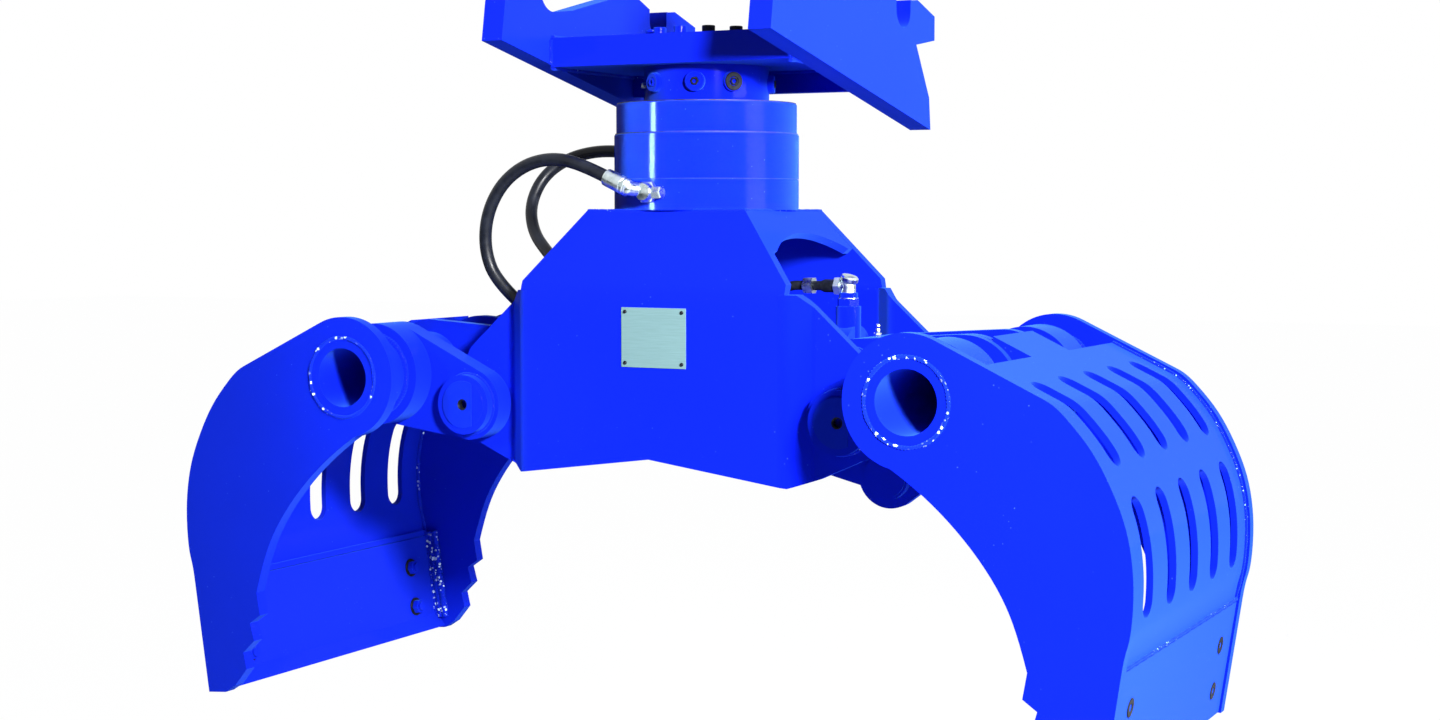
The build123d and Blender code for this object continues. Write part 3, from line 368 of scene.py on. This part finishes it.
def ring_profile(inner, outer, height, bevel):
    return ((inner, 0.0), (outer, 0.0), (outer, height - bevel), (outer - bevel, height),
            (inner + bevel, height), (inner, height - bevel), (inner, 0.0))


def stud_profile(radius, height, bevel):
    return ((0.0, 0.0), (radius, 0.0), (radius, height - bevel), (radius - bevel, height),
            (0.0, height))


def out_of_axis(degrees):
    """Level direction away from the slewing axis."""
    return Vector((math.cos(math.radians(degrees)), math.sin(math.radians(degrees)), 0.0))


black_oxide, black_tree, black_shader = new_material("black oxide steel", (0.012, 0.013, 0.017),
                                                     0.03, 0.38)
black_shader.inputs["Specular IOR Level"].default_value = 0.07
black_haze = grain(black_tree, 90.0, 4.0, 0.6)
steer(black_tree, black_shader, "Roughness", black_haze, 0.3, 0.75, grey(0.28), grey(0.52))
steer(black_tree, black_shader, "Base Color", black_haze, 0.35, 0.8,
      (0.004, 0.005, 0.008, 1), (0.016, 0.018, 0.028, 1))

zinc, zinc_tree, zinc_shader = new_material("bright zinc", (0.62, 0.72, 0.72), 1.0, 0.26)
zinc_haze = grain(zinc_tree, 60.0, 5.0, 0.65)
steer(zinc_tree, zinc_shader, "Roughness", zinc_haze, 0.3, 0.7, grey(0.16), grey(0.42))
steer(zinc_tree, zinc_shader, "Base Color", zinc_haze, 0.25, 0.8,
      (0.42, 0.52, 0.55, 1), (0.72, 0.80, 0.80, 1))
relief_on(zinc_tree, zinc_shader, zinc_haze, 0.2, 0.0003)

for number in range(SCREW_COUNT):
    seat = out_of_axis(360.0 * number / SCREW_COUNT) * SCREW_CIRCLE
    seat.z = SCREW_TOP_Z - SCREW_HEIGHT
    finish = black_oxide if number in BLACK_SCREWS else blue
    collar = ring_profile(SCREW_SOCKET_R, SCREW_R, SCREW_HEIGHT + 0.0010, EDGE_BREAK)
    lathe_piece(f"screw_collar_{number:02d}", collar, seat, (0, 0, 1), finish, "bracket", 32)
finish_nodes(("rotor_port_plugs",), blue)
for number, degrees in enumerate(PLUG_DEGREES):
    out = out_of_axis(degrees)
    face = out * PLUG_FACE_R + Vector((0.0, 0.0, PLUG_Z))
    if number == 0:
        lathe_piece("port_plug_body", stud_profile(PLUG_R + EDGE_BREAK, 0.0130, EDGE_BREAK),
                    face - out * 0.0120, out, blue, "bracket", 40)
    lathe_piece(f"port_plug_ring_{number}", ring_profile(0.0085, PLUG_R, 0.0034, EDGE_BREAK), face, out,
                black_oxide if number == BLACK_PLUG else blue, "bracket", 32)
    lathe_piece(f"port_plug_hex_{number}", ring_profile(0.0046, 0.0082, 0.0056, 0.0008), face, out,
                black_oxide if number else blue, "bracket", 6)
bleed_out = out_of_axis(BLEED_DEGREES)
lathe_piece("rotor_bleed_screw", stud_profile(0.0060, 0.0080, EDGE_BREAK),
            bleed_out * BLEED_SEAT_R + Vector((0.0, 0.0, BLEED_Z)), bleed_out, zinc,
            "bracket", 6)


# Rotator housing: three turned rings with chamfered edges, stacked and sealed against
# each other by dark gaskets that show as thin lines, with one pale mark at the front.
RING_LEVELS = (("rotator_lower_ring", 0.1800, 0.1280, 0.0, 0.0600),
               ("rotator_middle_ring", 0.1800, 0.1280, 0.0600, 0.1464),
               ("rotator_top_ring", 0.1760, 0.0950, 0.1464, 0.2053))
RING_CHAMFER = 0.0025
RING_SIDES = 144
GASKET_THICKNESS = 0.0024
GASKET_INSET = 0.0016
PALE_MARK_PLACE = (0.0945, -0.1500, 0.0012)
gasket, gasket_tree, gasket_shader = new_material("dark gasket", (0.0, 0.001, 0.03), 0.0, 0.6)
gasket_mark = gasket_tree.nodes.new("ShaderNodeVectorMath")
gasket_mark.operation = "DISTANCE"
gasket_mark.inputs[1].default_value = PALE_MARK_PLACE
gasket_place = gasket_tree.nodes.new("ShaderNodeTexCoord")
gasket_tree.links.new(gasket_place.outputs["Object"], gasket_mark.inputs[0])
gasket_pale_mark = ramp_node(gasket_tree, gasket_mark.outputs["Value"], 0.0065, 0.0090, grey(1.0), grey(0.0))
gasket_colour = gasket_tree.nodes.new("ShaderNodeMixRGB")
gasket_colour.inputs["Color2"].default_value = (0.55, 0.75, 0.85, 1)
gasket_tree.links.new(gasket_pale_mark, gasket_colour.inputs["Fac"])
steer(gasket_tree, gasket_colour, "Color1", grain(gasket_tree, 40.0, 4.0, 0.6), 0.45, 0.75,
      (0.0, 0.001, 0.02, 1), (0.01, 0.03, 0.25, 1))
gasket_tree.links.new(gasket_colour.outputs["Color"], gasket_shader.inputs["Base Color"])
for node, outer, inner, low_z, high_z in RING_LEVELS:
    ring = lathe_piece(f"{node}_turned", ring_profile(inner, outer, high_z - low_z, RING_CHAMFER),
                       (0.0, 0.0, low_z), (0, 0, 1), blue, "frame", RING_SIDES)
    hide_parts(node)
    strip_catch.objects.link(ring)
    lathe_piece(f"{node}_gasket", ring_profile(inner, outer - GASKET_INSET, GASKET_THICKNESS, 0.0004),
                (0.0, 0.0, high_z - GASKET_THICKNESS / 2), (0, 0, 1), gasket, "frame",
                RING_SIDES)


# Weld beads: fillets of steel laid in short ripples along the joints and painted over,
# with small raised specks whose pale colour is a painted glint, near-white on the spatter welds.
BEAD_STEP = 0.0016
BEAD_RIPPLE = 0.0062
BEAD_SIDES = 6
BEAD_LOW = 0.78
BEAD_SWELL = 0.26
BEAD_WOBBLE = 0.10
CIRCLE_POINTS = 72
WELD_SINK = 0.001
WELD_STOP = 0.004
CHEEK_IN_X = 0.257
BASE_LOW_Z = 0.276
BASE_TOP_Z = 0.332
BASE_HALF_Y = 0.160
BASE_BEAD_R = 0.0055
FRONT_BEAD_R = 0.0045
WEB_BEAD_R = 0.0050
# Its pale raised specks are painted glints on the ripples.
bead_paint = paint_material("painted weld", (0.002, 0.008, 0.52), 1.0, 130.0, (0.20, 0.36, 0.95),
                            0.9, 0.22)


def spaced_line(points, closed):
    """Points at even steps along a run of straight pieces."""
    line = [Vector(point) for point in points]
    if closed:
        line.append(line[0].copy())
    total = sum((b - a).length for a, b in zip(line, line[1:]))
    count = max(8, round(total / BEAD_STEP))
    spaced = []
    walked = 0.0
    at = 0
    for k in range(count + 1):
        goal = total * k / count
        while at < len(line) - 2 and walked + (line[at + 1] - line[at]).length < goal:
            walked += (line[at + 1] - line[at]).length
            at += 1
        run = line[at + 1] - line[at]
        spaced.append(line[at] + run * min(1.0, (goal - walked) / max(run.length, 1e-9)))
    return spaced[:-1] if closed else spaced


def lay_beads(name, lines, radius, body, up, closed=False, material=bead_paint):
    """Rippled weld beads along lines, joined into one piece."""
    build = bmesh.new()
    for points in lines:
        path = spaced_line(points, closed)
        rings = []
        for k, place in enumerate(path):
            before = path[k - 1] if closed or k else path[0]
            after = path[(k + 1) % len(path)] if closed or k < len(path) - 1 else path[-1]
            way = (after - before).normalized()
            side = Vector(up).cross(way).normalized()
            rise = way.cross(side)
            wave = abs(math.sin(math.pi * k * BEAD_STEP / BEAD_RIPPLE))
            wobble = 1.0 + BEAD_WOBBLE * math.sin(k * 0.23 + len(path))
            size = radius * (BEAD_LOW + BEAD_SWELL * wave) * wobble
            rings.append([build.verts.new(place + (side * math.cos(math.tau * j / BEAD_SIDES)
                                                   + rise * math.sin(math.tau * j / BEAD_SIDES)) * size)
                          for j in range(BEAD_SIDES)])
        pairs = list(zip(rings, rings[1:]))
        if closed:
            pairs.append((rings[-1], rings[0]))
        for first, second in pairs:
            for j in range(BEAD_SIDES):
                after = (j + 1) % BEAD_SIDES
                build.faces.new((first[j], first[after], second[after], second[j]))
        if not closed:
            build.faces.new(rings[0][::-1])
            build.faces.new(rings[-1])
    mesh = mesh_from(build, name, True)
    mesh.materials.append(material)
    piece = bpy.data.objects.new(name, mesh)
    bpy.context.collection.objects.link(piece)
    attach(piece, body)


def circle_line(x, y, z, radius):
    """Points round an axis along Y."""
    return [(x + radius * math.cos(math.tau * k / CIRCLE_POINTS), y,
             z + radius * math.sin(math.tau * k / CIRCLE_POINTS)) for k in range(CIRCLE_POINTS)]


cheek_weld_x = CHEEK_IN_X - WELD_SINK
base_weld_y = BASE_HALF_Y - WELD_STOP
front_weld_y = -BASE_HALF_Y - WELD_SINK
web_weld_x = CHEEK_IN_X - WELD_STOP
lay_beads("bracket_base_welds",
          [[(side * cheek_weld_x, -base_weld_y, z), (side * cheek_weld_x, base_weld_y, z)]
           for z in (BASE_TOP_Z + WELD_SINK, BASE_LOW_Z - WELD_SINK) for side in (-1, 1)],
          BASE_BEAD_R, "bracket", (0, 0, 1))
lay_beads("bracket_front_welds",
          [[(side * cheek_weld_x, front_weld_y, BASE_LOW_Z + WELD_STOP),
            (side * cheek_weld_x, front_weld_y, BASE_TOP_Z - WELD_STOP)] for side in (-1, 1)],
          FRONT_BEAD_R, "bracket", (0, 1, 0))
lay_beads("bracket_web_welds",
          [[(-web_weld_x, y, z), (web_weld_x, y, z)]
           for y, z in ((BASE_HALF_Y - WELD_SINK, BASE_LOW_Z - WELD_SINK),
                        (BASE_HALF_Y + 2 * WELD_SINK, BASE_TOP_Z + WELD_SINK))],
          WEB_BEAD_R, "bracket", (0, 0, 1))


# Grapple frame: two folded plates joined by the top plate and the sloping end webs,
# with pivot hubs welded in at the four corners and a bare aluminium rating plate.
PIVOT_X = 0.400
PIVOT_Z = -0.378
HUB_R = 0.058
HUB_BEAD_R = 0.0048
END_IN_Y = 0.173
TOP_HALF_X = 0.1695
TOP_WELD_X = 0.1690
TOP_WELD_Y = 0.1675
TOP_END_WELD_Y = 0.166
TOP_WELD_R = 0.0030
PLATE_X = (-0.056, 0.081)
PLATE_Z = (-0.294, -0.182)
PLATE_FACE_Y = -0.236
RIVET_INSET = 0.008
RIVET_R = 0.0036
lay_beads("frame_hub_welds",
          [circle_line(side * PIVOT_X, face * END_IN_Y, PIVOT_Z, HUB_R + WELD_SINK)
           for side in (-1, 1) for face in (-1, 1)], HUB_BEAD_R, "frame", (0, 1, 0), True)
lay_beads("frame_top_welds",
          [[(end * TOP_HALF_X, face * TOP_WELD_Y, -WELD_SINK) for end in (-1, 1)]
           for face in (-1, 1)], TOP_WELD_R, "frame", (0, 0, 1))
lay_beads("frame_top_end_welds",
          [[(side * TOP_WELD_X, end * TOP_END_WELD_Y, -WELD_SINK) for end in (-1, 1)]
           for side in (-1, 1)], TOP_WELD_R, "frame", (0, 0, 1))

plate_metal, plate_tree, plate_shader = new_material("bare aluminium plate", (0.14, 0.24, 0.26),
                                                     0.0, 0.5)
plate_shader.inputs["Specular IOR Level"].default_value = 0.3
plate_place = plate_tree.nodes.new("ShaderNodeTexCoord")
plate_stretch = plate_tree.nodes.new("ShaderNodeMapping")
plate_stretch.inputs["Scale"].default_value = (6.0, 6.0, 420.0)
plate_tree.links.new(plate_place.outputs["Object"], plate_stretch.inputs["Vector"])
plate_brush = grain(plate_tree, 4.0, 5.0, 0.6, plate_stretch.outputs["Vector"])
steer(plate_tree, plate_shader, "Base Color", plate_brush, 0.3, 0.72,
      (0.11, 0.195, 0.205, 1), (0.15, 0.26, 0.275, 1))
steer(plate_tree, plate_shader, "Roughness", plate_brush, 0.3, 0.72, grey(0.34), grey(0.52))
finish_nodes(("frame_rating_plate",), plate_metal)
for row, z in enumerate((PLATE_Z[0] + RIVET_INSET, PLATE_Z[1] - RIVET_INSET)):
    for column, x in enumerate((PLATE_X[0] + RIVET_INSET, PLATE_X[1] - RIVET_INSET)):
        lathe_piece(f"rating_plate_rivet_{row}{column}", stud_profile(RIVET_R, 0.0030, 0.0016),
                    (x, PLATE_FACE_Y, z), (0, -1, 0), black_oxide, "frame", 20)


# Each jaw: two thick side plates on a hollow tube, with the levers' collars, the curved
# shell and the blade welded between them and a wear plate bolted inside the blade.
TUBE = Vector((0.587, -0.3227))
TUBE_R = 0.075
JAW_Y = 0.395
SIDE_IN_Y = 0.370
COLLAR_Y = 0.292
LEVER_IN_Y = 0.195
CONTOUR = ((0.1224, 0.0714), (0.1830, 0.0425), (0.243, 0.014), (0.284, -0.019), (0.321, -0.063),
           (0.356, -0.124), (0.381, -0.187), (0.393, -0.250), (0.395, -0.310), (0.389, -0.370),
           (0.377, -0.424))
CONTOUR_STEPS = 6
TIP = (0.344, -0.650)
SHELL_INSET = 0.009
SHELL_T = 0.012
BLADE_OUT = 0.005
BLADE_IN = 0.017
WASHER_SEAT = 0.0269
BLADE_BOLT_Y = 0.290
BLADE_BOLT_ROWS = (0.078, 0.168)
TUBE_END_WELD_R = TUBE_R + 0.0020
TUBE_WELD_R = TUBE_R + 0.0030
TUBE_END_BEAD_R = 0.0042
TUBE_BEAD_R = 0.0058
SHELL_OUTER_BEAD_R = 0.0036
SHELL_INNER_BEAD_R = 0.0050
SEAM_BEAD_R = 0.0032
CORNER_BEAD_R = 0.0082
CORNER_WELD_ALONG = (0.004, 0.205)
CORNER_WELD_INSETS = (0.010, 0.022, 0.034)
blade_way = (Vector(TIP) - Vector(CONTOUR[-1])).normalized()
blade_inward = Vector((blade_way.y, -blade_way.x))


def jaw_point(side, u, w, y):
    """Point given from the tube centre, outwards and up, on the left or right jaw."""
    return (side * (TUBE.x + u), y, TUBE.y + w)


def contour_line(inset):
    """Back contour of the jaw moved inwards, in steps of a sixth between its points."""
    knots = [Vector(point) for point in CONTOUR]
    knots = [knots[0] * 2 - knots[1]] + knots + [knots[-1] * 2 - knots[-2]]
    line = []
    for a, b, c, d in zip(knots, knots[1:], knots[2:], knots[3:]):
        for k in range(CONTOUR_STEPS):
            t = k / CONTOUR_STEPS
            place = 0.5 * ((2 * b) + (c - a) * t + (2 * a - 5 * b + 4 * c - d) * t * t
                           + (3 * b - a - 3 * c + d) * t ** 3)
            way = (0.5 * ((c - a) + 2 * (2 * a - 5 * b + 4 * c - d) * t
                          + 3 * (3 * b - a - 3 * c + d) * t * t)).normalized()
            line.append(place + Vector((way.y, -way.x)) * inset)
    line.append(knots[-2] + blade_inward * inset)
    return line


def blade_point(along, inset):
    return Vector(CONTOUR[-1]) + blade_way * along + blade_inward * inset


tooth_steel = paint_material("worn blue blade", (0.002, 0.007, 0.50), 0.5, 80.0, (0.06, 0.14, 0.80),
                             0.35)
# Weld with raised spatter specks; their near-white colour is a painted glint.
spatter_and_glints = paint_material("weld spatter with painted glints", (0.003, 0.014, 0.52), 1.0, 105.0,
                         (0.75, 0.95, 1.0), 1.0, 0.34)
for side, jaw in ((1, "jaw_right"), (-1, "jaw_left")):
    finish_nodes((f"{jaw}_cutting_edge", f"{jaw}_blade_plate"), tooth_steel)
    lay_beads(f"{jaw}_tube_end_welds",
              [circle_line(side * TUBE.x, face * (JAW_Y - 0.0006), TUBE.y, TUBE_END_WELD_R)
               for face in (-1, 1)], TUBE_END_BEAD_R, jaw, (0, 1, 0), True, spatter_and_glints)
    lay_beads(f"{jaw}_collar_welds",
              [circle_line(side * TUBE.x, face * y, TUBE.y, TUBE_WELD_R)
               for y in (COLLAR_Y + WELD_SINK, LEVER_IN_Y - WELD_SINK, SIDE_IN_Y - WELD_SINK)
               for face in (-1, 1)], TUBE_BEAD_R, jaw, (0, 1, 0), True)
    for tag, inset, y, radius, finish in (
            ("outer", SHELL_INSET - WELD_SINK, SIDE_IN_Y - 0.001, SHELL_OUTER_BEAD_R, bead_paint),
            ("inner", SHELL_INSET + SHELL_T + 0.002, SIDE_IN_Y - 0.002, SHELL_INNER_BEAD_R, spatter_and_glints)):
        lay_beads(f"{jaw}_shell_{tag}_welds",
                  [[jaw_point(side, point.x, point.y, face * y) for point in contour_line(inset)]
                   for face in (-1, 1)], radius, jaw, (0, 1, 0), False, finish)
    seam = blade_point(0.0, BLADE_OUT)
    lay_beads(f"{jaw}_seam_weld",
              [[jaw_point(side, seam.x, seam.y, end * (SIDE_IN_Y - 0.006)) for end in (-1, 1)]],
              SEAM_BEAD_R, jaw, (0, 0, 1))
    inward = Vector((side * blade_inward.x, 0.0, blade_inward.y))
    for row, along in enumerate(BLADE_BOLT_ROWS):
        for column, y in enumerate((-BLADE_BOLT_Y, BLADE_BOLT_Y)):
            seat = blade_point(along, BLADE_OUT - 0.0004)
            lathe_piece(f"{jaw}_blade_screw_{row}{column}", ring_profile(0.0070, 0.0168, 0.0012, 0.0004),
                        jaw_point(side, seat.x, seat.y, y), -inward, black_oxide, jaw, 32)
            seat = blade_point(along, WASHER_SEAT)
            lathe_piece(f"{jaw}_blade_washer_{row}{column}", ring_profile(0.0105, 0.0205, 0.0028, 0.0006),
                        jaw_point(side, seat.x, seat.y, y), inward, black_oxide, jaw, 32)
for side, jaw in ((-1, "jaw_left"), (1, "jaw_right")):
    lay_beads(f"{jaw}_corner_weld",
              [[jaw_point(side, *blade_point(along, BLADE_IN + inset), SIDE_IN_Y - 0.004)
                for along in CORNER_WELD_ALONG] for inset in CORNER_WELD_INSETS],
              CORNER_BEAD_R, jaw, (0, 1, 0), False, spatter_and_glints)


# Pins of the jaw pivots: flame-cut heads with a D-shaped keeper let in, a grease hole
# in the middle, and grease nipples with hex bases on the cylinder's eyes.
HEAD_FACE_Y = 0.260
HEAD_WELD_Y = 0.2405
HEAD_WELD_RING_R = 0.0590
PIN_BEAD_R = 0.0030
KEEPER_R = 0.0464
KEEPER_FLAT_X = 0.0209
KEEPER_SIDES = 72
KEEPER_SEAT = 0.0055
KEEPER_PROUD = 0.0020
GREASE_HOLE_R = 0.0110
CUP_R = 0.0108
CUP_BORE_R = 0.0085
CUP_DEPTH = 0.011
keeper_paint = paint_material("thin blue over steel", (0.002, 0.010, 0.44), 0.7, 120.0,
                              (0.12, 0.22, 0.85), 0.6)


def keeper_mesh(name):
    """D-shaped plates for both ends, flat on the right, with a hole for the grease nipple."""
    build = bmesh.new()
    for face in (-1, 1):
        outer = []
        inner = []
        for k in range(KEEPER_SIDES):
            across = math.cos(math.tau * k / KEEPER_SIDES)
            along = math.sin(math.tau * k / KEEPER_SIDES)
            outer.append((min(KEEPER_R * across, KEEPER_FLAT_X), KEEPER_R * along))
            inner.append((GREASE_HOLE_R * across, GREASE_HOLE_R * along))
        levels = ((outer, HEAD_FACE_Y - KEEPER_SEAT, 1.0), (outer, HEAD_FACE_Y + 0.0014, 1.0),
                  (outer, HEAD_FACE_Y + KEEPER_PROUD, 0.985), (inner, HEAD_FACE_Y + KEEPER_PROUD, 1.0),
                  (inner, HEAD_FACE_Y - KEEPER_SEAT, 1.0))
        rows = [[build.verts.new((-PIVOT_X + x * shrink, face * y, PIVOT_Z + z * shrink))
                 for x, z in line] for line, y, shrink in levels]
        for first, second in zip(rows, rows[1:]):
            for k in range(KEEPER_SIDES):
                after = (k + 1) % KEEPER_SIDES
                build.faces.new((first[k], first[after], second[after], second[k]))
    return mesh_from(build, name, False)


for side, jaw in ((1, "jaw_right"), (-1, "jaw_left")):
    finish_nodes((f"{jaw}_pin_keepers",), keeper_paint)
    if side < 0:
        keeper = bpy.data.objects.new("jaw_left_keepers", keeper_mesh("jaw_left_keepers"))
        keeper.data.materials.append(keeper_paint)
        bpy.context.collection.objects.link(keeper)
        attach(keeper, jaw)
        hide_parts("jaw_left_pin_keepers")
        for face, tag in ((-1, "front"), (1, "rear")):
            lathe_piece(f"jaw_left_pin_cover_{tag}", ring_profile(GREASE_HOLE_R, 0.0470, 0.0058, 0.0004),
                        (-PIVOT_X, face * (HEAD_FACE_Y - KEEPER_SEAT), PIVOT_Z), (0, face, 0), blue,
                        jaw, 72)
    for face, tag in ((-1, "front"), (1, "rear")):
        cup = ((CUP_BORE_R, 0.0), (CUP_BORE_R, CUP_DEPTH), (CUP_R, CUP_DEPTH + 0.002), (CUP_R, 0.0),
               (CUP_BORE_R, 0.0))
        lathe_piece(f"{jaw}_grease_cup_{tag}", cup,
                    (side * PIVOT_X, face * (HEAD_FACE_Y - CUP_DEPTH), PIVOT_Z), (0, face, 0),
                    black_oxide, jaw, 28)
    lay_beads(f"{jaw}_pin_head_welds",
              [circle_line(side * PIVOT_X, face * HEAD_WELD_Y, PIVOT_Z, HEAD_WELD_RING_R)
               for face in (-1, 1)], PIN_BEAD_R, jaw, (0, 1, 0), True)


# Cylinder across the frame: painted barrel and port boss, turned gland, chromed rod, a
# zinc-plated elbow with its nut and cap, and the black oil pipe with its union nut.
EYE_X = 0.364
EYE_TOP_Z = -0.238
PORT_X = 0.304
BOSS_TOP_Z = -0.182
PORT_LEVEL_Z = -0.144
ELBOW_NUT_X = 0.2905
FERRULE_X = 0.2780
UNION_X = 0.2320
PIPE_R = 0.0092
NUT_BREAK = 0.0015
chrome, chrome_tree, chrome_shader = new_material("hard chrome", (0.72, 0.76, 0.80), 1.0, 0.10)
steer(chrome_tree, chrome_shader, "Roughness", grain(chrome_tree, 18.0, 4.0, 0.6), 0.35, 0.75,
      grey(0.07), grey(0.20))
turned, turned_tree, turned_shader = new_material("turned steel", (0.30, 0.32, 0.36), 1.0, 0.36)
turned_place = turned_tree.nodes.new("ShaderNodeTexCoord")
turned_lines = turned_tree.nodes.new("ShaderNodeTexWave")
turned_lines.inputs["Scale"].default_value = 160.0
turned_lines.inputs["Distortion"].default_value = 0.4
turned_tree.links.new(turned_place.outputs["Object"], turned_lines.inputs["Vector"])
relief_on(turned_tree, turned_shader, turned_lines.outputs["Fac"], 0.15, 0.0003)
steer(turned_tree, turned_shader, "Base Color", turned_lines.outputs["Fac"], 0.2, 0.8,
      (0.24, 0.26, 0.30, 1), (0.36, 0.38, 0.42, 1))
finish_nodes(("cylinder_rod",), chrome)
finish_nodes(("cylinder_gland", "hose_block"), turned)
finish_nodes(("hose_elbows", "hose_end_fittings", "cylinder_port_elbow"), zinc)
finish_nodes(("cylinder_pipe",), black_oxide)
cap_profile = ((0.0, 0.0), (0.0155, 0.0), (0.0175, 0.0020), (0.0175, 0.0090), (0.0150, 0.0120),
               (0.0090, 0.0135), (0.0, 0.0140))
ferrule_profile = ((PIPE_R, 0.0), (0.0125, 0.0), (0.0125, 0.0220), (0.0105, 0.0280),
                   (PIPE_R, 0.0280), (PIPE_R, 0.0))
for name, profile, place, axis, finish, slot_name, sides in (
        ("port_base_nut", ring_profile(0.0140, 0.0225, 0.0150, NUT_BREAK),
         (PORT_X, 0.0, BOSS_TOP_Z), (0, 0, 1), blue, "zinc_fitting", 6),
        ("port_elbow_collar", ring_profile(0.0132, 0.0180, 0.0110, NUT_BREAK),
         (PORT_X, 0.0, BOSS_TOP_Z + 0.0148), (0, 0, 1), blue, "zinc_fitting", 36),
        ("port_elbow_cap", cap_profile,
         (PORT_X, 0.0, PORT_LEVEL_Z + 0.0080), (0.30, -0.10, 0.95), zinc, "zinc_fitting", 36),
        ("port_elbow_nut", ring_profile(0.0100, 0.0185, 0.0130, NUT_BREAK),
         (ELBOW_NUT_X, 0.0, PORT_LEVEL_Z), (-1, 0, 0), zinc, "zinc_fitting", 6),
        ("pipe_ferrule", ferrule_profile,
         (FERRULE_X, 0.0, PORT_LEVEL_Z), (-1, 0, 0), black_oxide, "black_steel", 36),
        ("pipe_union_nut", ring_profile(PIPE_R, 0.0170, 0.0200, 0.0018),
         (UNION_X, 0.0, PORT_LEVEL_Z), (-1, 0, 0), zinc, "zinc_fitting", 6)):
    lathe_piece(name, profile, place, axis, finish, "cylinder_body", sides)
nipple_profile = ((0.0, 0.0), (0.0050, 0.0), (0.0050, 0.0080), (0.0030, 0.0110), (0.0045, 0.0150),
                  (0.0035, 0.0180), (0.0, 0.0190))
for name, side, body in (("barrel_nipple", 1, "cylinder_body"), ("rod_nipple", -1, "cylinder_piston")):
    place = Vector((side * EYE_X, 0.0, EYE_TOP_Z))
    lean = Vector((side * 0.15, -0.2, 1.0))
    lathe_piece(f"{name}_base", stud_profile(0.0085, 0.0070, EDGE_BREAK), place, lean, zinc, body,
                6)
    lathe_piece(f"{name}_head", nipple_profile, place + lean.normalized() * 0.006, lean, zinc, body,
                24)


# Fittings of the front hose at the housing: a crimped sleeve over the rubber, a hex nut
# and the bright cap of the banjo screw.
SLEEVE_R = 0.0168
SLEEVE_GROOVE_R = 0.0152
SLEEVE_BORE_R = 0.0128
SLEEVE_LENGTH = 0.0560
GROOVE_COUNT = 6
GROOVE_PITCH = 0.0085
BANJO = Vector((-0.0290, -0.1760, 0.0330))
BANJO_OUT = Vector((-0.12, -0.99, 0.05)).normalized()
sleeve_start = Vector(FRONT_HOSE_ROUTE[0])
sleeve_way = (Vector(FRONT_HOSE_ROUTE[1]) - sleeve_start).normalized()
sleeve_profile = [(SLEEVE_BORE_R, 0.0)]
for groove in range(GROOVE_COUNT):
    start = 0.002 + groove * GROOVE_PITCH
    sleeve_profile += [(SLEEVE_R, start), (SLEEVE_R, start + 0.0050),
                       (SLEEVE_GROOVE_R, start + 0.0062), (SLEEVE_GROOVE_R, start + 0.0072)]
sleeve_profile += [(0.0160, SLEEVE_LENGTH - 0.0020), (SLEEVE_BORE_R, SLEEVE_LENGTH), (SLEEVE_BORE_R, 0.0)]
banjo_cap_profile = ((0.0, 0.0), (0.0185, 0.0), (0.0185, 0.0140), (0.0160, 0.0190), (0.0080, 0.0220),
                     (0.0, 0.0225))
for name, profile, place, axis, sides in (
        ("front_hose_sleeve", sleeve_profile, sleeve_start + sleeve_way * 0.006, -sleeve_way, 40),
        ("front_hose_banjo_hex", ring_profile(0.0100, 0.0225, 0.0120, 0.0018), BANJO, BANJO_OUT, 6),
        ("front_hose_banjo_cap", banjo_cap_profile, BANJO + BANJO_OUT * 0.0040, BANJO_OUT, 40),
        ("front_hose_side_nut", stud_profile(0.0125, 0.0200, 0.0020),
         BANJO + Vector((0.0150, -0.0100, -0.0010)), (0.98, -0.12, 0.05), 6)):
    lathe_piece(name, profile, place, axis, zinc, "frame", sides)
